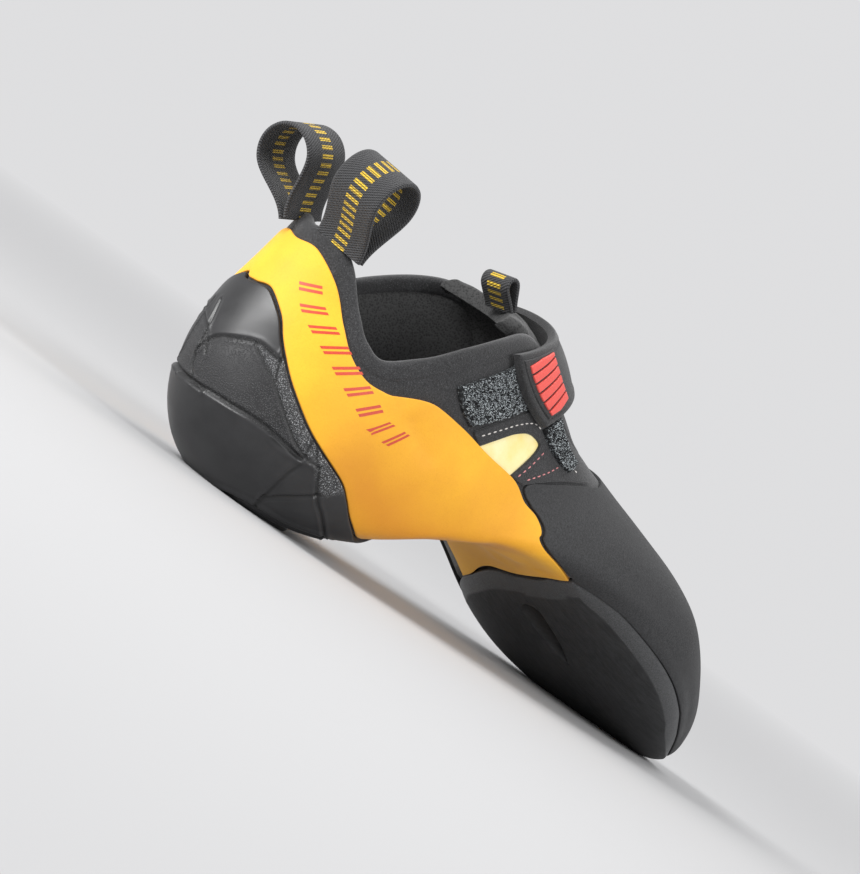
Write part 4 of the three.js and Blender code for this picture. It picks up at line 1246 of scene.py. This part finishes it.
def make_loops():
    pull_size, tongue_size = (18, 28, 19), (10.5, 11.2, 6)
    outer_seat, inner_seat = (skin_point(0.3, angle, -1.55) + [0, 0, 1.3] for angle in (-64.0, -112.0))
    tongue_seat = skin_point(0.25, 79.0, -5.2) + [0, -0.8, 2.0]
    make_loop("outer_pull_loop", "pull_loop_outer", outer_seat,
              (0.15, -0.15, 0.97), (0.92, 0.36, -0.1), *pull_size)
    make_loop("inner_pull_loop", "pull_loop_inner", inner_seat,
              (-0.38, -0.42, 0.82), (0.26, -0.95, -0.1), *pull_size)
    make_loop("tongue_pull_loop", "tongue_loop", tongue_seat,
              (0, -0.7, 0.72), (0.96, 0.2, 0.2), *tongue_size)


# Stitches and printed bars
def make_stitches(name, material, pitch, spots):
    """Short round stitches along a given line on the form."""
    offset, share, radius, closeness = 0.36, 0.62, 0.22, 24
    row, angle = smooth_line(spots, closeness)
    line = skin_point(row, angle, np.full(len(row), offset))
    normals = skin_normal(row, angle)
    lengths = arc_lengths(line[None], 1)[0]
    points, faces = [], []
    sides, rings = 6, 7
    for k in range(int(lengths[-1] / pitch)):
        stations = np.linspace(k * pitch, (k + share) * pitch, rings)
        spine = np.stack([np.interp(stations, lengths, line[:, j]) for j in range(3)], 1)
        out = unit(np.stack([np.interp(stations, lengths, normals[:, j]) for j in range(3)], 1))
        tangent = unit(np.gradient(spine, axis=0))
        side = np.cross(tangent, out)
        start = len(points)
        for i in range(rings):
            bulge = math.sin(math.pi * (i + 0.35) / (rings - 0.3)) ** 0.5
            sink = radius * (1 - bulge)
            for j in range(sides):
                turn = 2 * math.pi * j / sides
                points.append(spine[i] + (side[i] * math.cos(turn) + out[i] * math.sin(turn)) * radius * bulge
                              - out[i] * sink)
        faces += grid_faces(rings, sides, ring_columns=True, start=start)
        faces.append(tuple(range(start, start + sides)))
        faces.append(tuple(range(start + (rings - 1) * sides, start + rings * sides)))
    piece = new_object(name, points, faces, material)
    mesh_normals_outside(piece)
    stand(piece, "lining")


STITCH_LINES = [
    ("window_stitches_rear", WHITE_THREAD, 2.3,
     [(4.44, 26.5), (4.46, 33), (4.52, 40), (4.74, 46.5), (5.2, 49.5)]),
    ("window_stitches_front", PINK_THREAD, 2.3, [(6.10, 31.6), (5.98, 37.5), (5.84, 43.5), (5.74, 48)]),
    ("quarter_stitches_low", PINK_THREAD, 2.3, [(6.40, 33), (6.52, 38.5), (6.62, 44), (6.68, 50)]),
    ("quarter_stitches_top", WHITE_THREAD, 2.1, [(4.62, 57.2), (5.6, 56), (6.6, 54.6), (7.5, 52.8)]),
]


def surface_step(row, angle, along_row, along_turn):
    """Row and angle after moving over the form by millimetres along the rows and round the section."""
    small_row, small_angle = 0.05, 1.0
    here = form_point(row, angle)
    row_size = np.linalg.norm(form_point(row + small_row, angle) - here, axis=-1) / small_row
    turn_size = np.linalg.norm(form_point(row, angle + small_angle) - here, axis=-1) / small_angle
    return row + along_row / row_size, angle + along_turn / turn_size


def make_band_print():
    """A plain row of slanted double bars along the band's outer side."""
    spots = [(0.90, -64), (1.39, -54), (1.84, -41), (2.25, -30), (2.74, -18.5), (3.33, -6), (3.90, 3),
             (4.35, 9)]
    place = np.linspace(0, len(spots) - 1, 200)
    line = along(np.array(spots, float), place)
    lengths = arc_lengths(form_point(line[:, 0], line[:, 1])[None], 1)[0]
    pitch, tall, thick, apart, slant, steps = 6.6, 6.0, 0.95, 0.85, 2.2, 14
    print_lift = 0.05
    points, faces = [], []
    for k in range(int(lengths[-1] / pitch)):
        for stroke in (-apart, apart):
            start = len(points)
            for i in range(steps + 1):
                share = i / steps - 0.5
                for side in (-0.5, 0.5):
                    run = (k + 0.5) * pitch + stroke + side * thick + share * slant
                    row = np.interp(run, lengths, line[:, 0])
                    angle = np.interp(run, lengths, line[:, 1])
                    row, angle = surface_step(row, angle, -share * tall * 0.55, share * tall * 0.83)
                    base = form_point(row, angle)
                    lift = BAND_FACE + float(crease_height(base[None])[0]) + print_lift
                    points.append(skin_point(row, angle, lift))
            faces += [(start + 2 * i, start + 2 * i + 1, start + 2 * i + 3, start + 2 * i + 2)
                      for i in range(steps)]
    piece = new_object("band_bars", points, faces, RED_PRINT)
    stand(piece, "red_patch")


# Stage, camera and lights; the floor's fade is in metres from the shoe
FADE_START = 0.3
FADE_END = 1.5


def floor_look():
    """Pale floor that fades into an evenly lit backdrop, so no horizon shows."""
    look = Material("studio_floor", 0.85)
    look.colour((0.43, 0.43, 0.435))
    split = look.node("ShaderNodeSeparateXYZ")
    look.link(look.place, split.inputs[0])
    flat = look.math("SQRT", look.math("ADD", look.math("POWER", split.outputs[0], 2.0),
                                       look.math("POWER", split.outputs[1], 2.0)))
    share = look.span(flat, FADE_START, FADE_END)
    glow = look.node("ShaderNodeEmission")
    glow.inputs["Color"].default_value = (0.735, 0.735, 0.745, 1.0)
    fade = look.node("ShaderNodeMixShader")
    look.link(share, fade.inputs[0])
    look.tree.links.new(look.shader.outputs[0], fade.inputs[1])
    look.tree.links.new(glow.outputs[0], fade.inputs[2])
    output = next(node for node in look.tree.nodes if node.type == "OUTPUT_MATERIAL")
    look.tree.links.new(fade.outputs[0], output.inputs["Surface"])
    return look.material


def make_stage():
    """Round studio floor that sweeps up into its wall, with no horizon."""
    steps = 96
    flat, bend, wall = 2600.0, 1400.0, 2600.0
    profile = [(0.01, 0.0), (300, 0.0), (1200, 0.0), (flat, 0.0)]
    profile += [(flat + bend * math.sin(t), bend * (1 - math.cos(t)))
                for t in np.linspace(0.08, math.pi / 2, 24)]
    profile.append((flat + bend, bend + wall))
    floor = lathe("studio_floor", profile, floor_look(), steps)


# Directions of the photograph's camera: right, up and towards the camera
PHOTO_RIGHT = np.array([0.7142, 0.4679, 0.5206])
PHOTO_UP = np.array([-0.0945, -0.6725, 0.7340])
PHOTO_BACK = np.array([0.6936, -0.5734, -0.4361])
CAMERA_DISTANCE = 1430.0
CAMERA_ELEVATION = 1.2
FRAME_WIDTH = 256.0
FRAME_RIGHT = -19
FRAME_UP = 20
SHOE_MIDDLE = np.array([-4.0, 82.0, 40.0])


def turned_camera():
    """The photograph's view direction, brought up to the floor by the smallest turn."""
    flat = unit(PHOTO_BACK * [1, 1, 0])
    lift = math.radians(CAMERA_ELEVATION)
    back = flat * math.cos(lift) + np.array([0, 0, math.sin(lift)])
    axis = unit(np.cross(PHOTO_BACK, back))
    turn = math.acos(float(PHOTO_BACK @ back))

    def rotate(vector):
        return (vector * math.cos(turn) + np.cross(axis, vector) * math.sin(turn)
                + axis * (axis @ vector) * (1 - math.cos(turn)))
    return rotate(PHOTO_RIGHT), rotate(PHOTO_UP), back


def make_camera():
    right, up, back = turned_camera()
    data = bpy.data.cameras.new("camera")
    data.sensor_fit = "HORIZONTAL"
    data.sensor_width = 36.0
    data.lens = data.sensor_width * CAMERA_DISTANCE / FRAME_WIDTH
    data.clip_start, data.clip_end = 0.01, 50.0
    camera = bpy.data.objects.new("camera", data)
    bpy.context.scene.collection.objects.link(camera)
    aim = SHOE_MIDDLE + right * FRAME_RIGHT + up * FRAME_UP
    spot = aim + back * CAMERA_DISTANCE
    camera.matrix_world = Matrix([
        [right[0], up[0], back[0], spot[0] * MM],
        [right[1], up[1], back[1], spot[1] * MM],
        [right[2], up[2], back[2], spot[2] * MM],
        [0, 0, 0, 1],
    ])
    bpy.context.scene.camera = camera


# Name, direction from the shoe, distance, size and power
LIGHTS = [
    ("key", (-0.10, -0.95, 0.62), 1.5, 0.7, 20),
    ("heel", (-0.32, -0.91, 0.26), 1.4, 0.55, 8),
    ("side", (0.95, 0.15, 0.60), 1.7, 0.8, 14),
    ("top", (-0.2, 0.4, 1.0), 1.8, 1.2, 11),
]


def make_light(name, direction, distance, size, power):
    """An area light that looks at the middle of the shoe from a direction."""
    data = bpy.data.lights.new(name, "AREA")
    data.shape = "DISK"
    data.size = size
    data.energy = power
    light = bpy.data.objects.new(name, data)
    bpy.context.scene.collection.objects.link(light)
    aim = Vector((-0.005, 0.08, 0.04))
    way = Vector(direction).normalized()
    light.location = aim + way * distance
    light.rotation_euler = way.to_track_quat("Z", "Y").to_euler()


def make_lights():
    for light in LIGHTS:
        make_light(*light)
    world = bpy.data.worlds.new("studio")
    world.use_nodes = True
    background = world.node_tree.nodes["Background"].inputs
    background["Color"].default_value = (1.0, 1.0, 1.0, 1.0)
    background["Strength"].default_value = 0.36
    bpy.context.scene.world = world
    bpy.context.scene.view_settings.view_transform = "Standard"


make_camera()
make_lights()
make_stage()
make_upper()
make_binding()
make_band()
make_band_print()
make_cup()
make_badge()
make_sole()
make_hood()
make_quarter()
make_window()
make_piles()
make_strap()
make_strap_patch()
make_tongue()
make_insole()
make_loops()
for stitch_line in STITCH_LINES:
    make_stitches(*stitch_line)
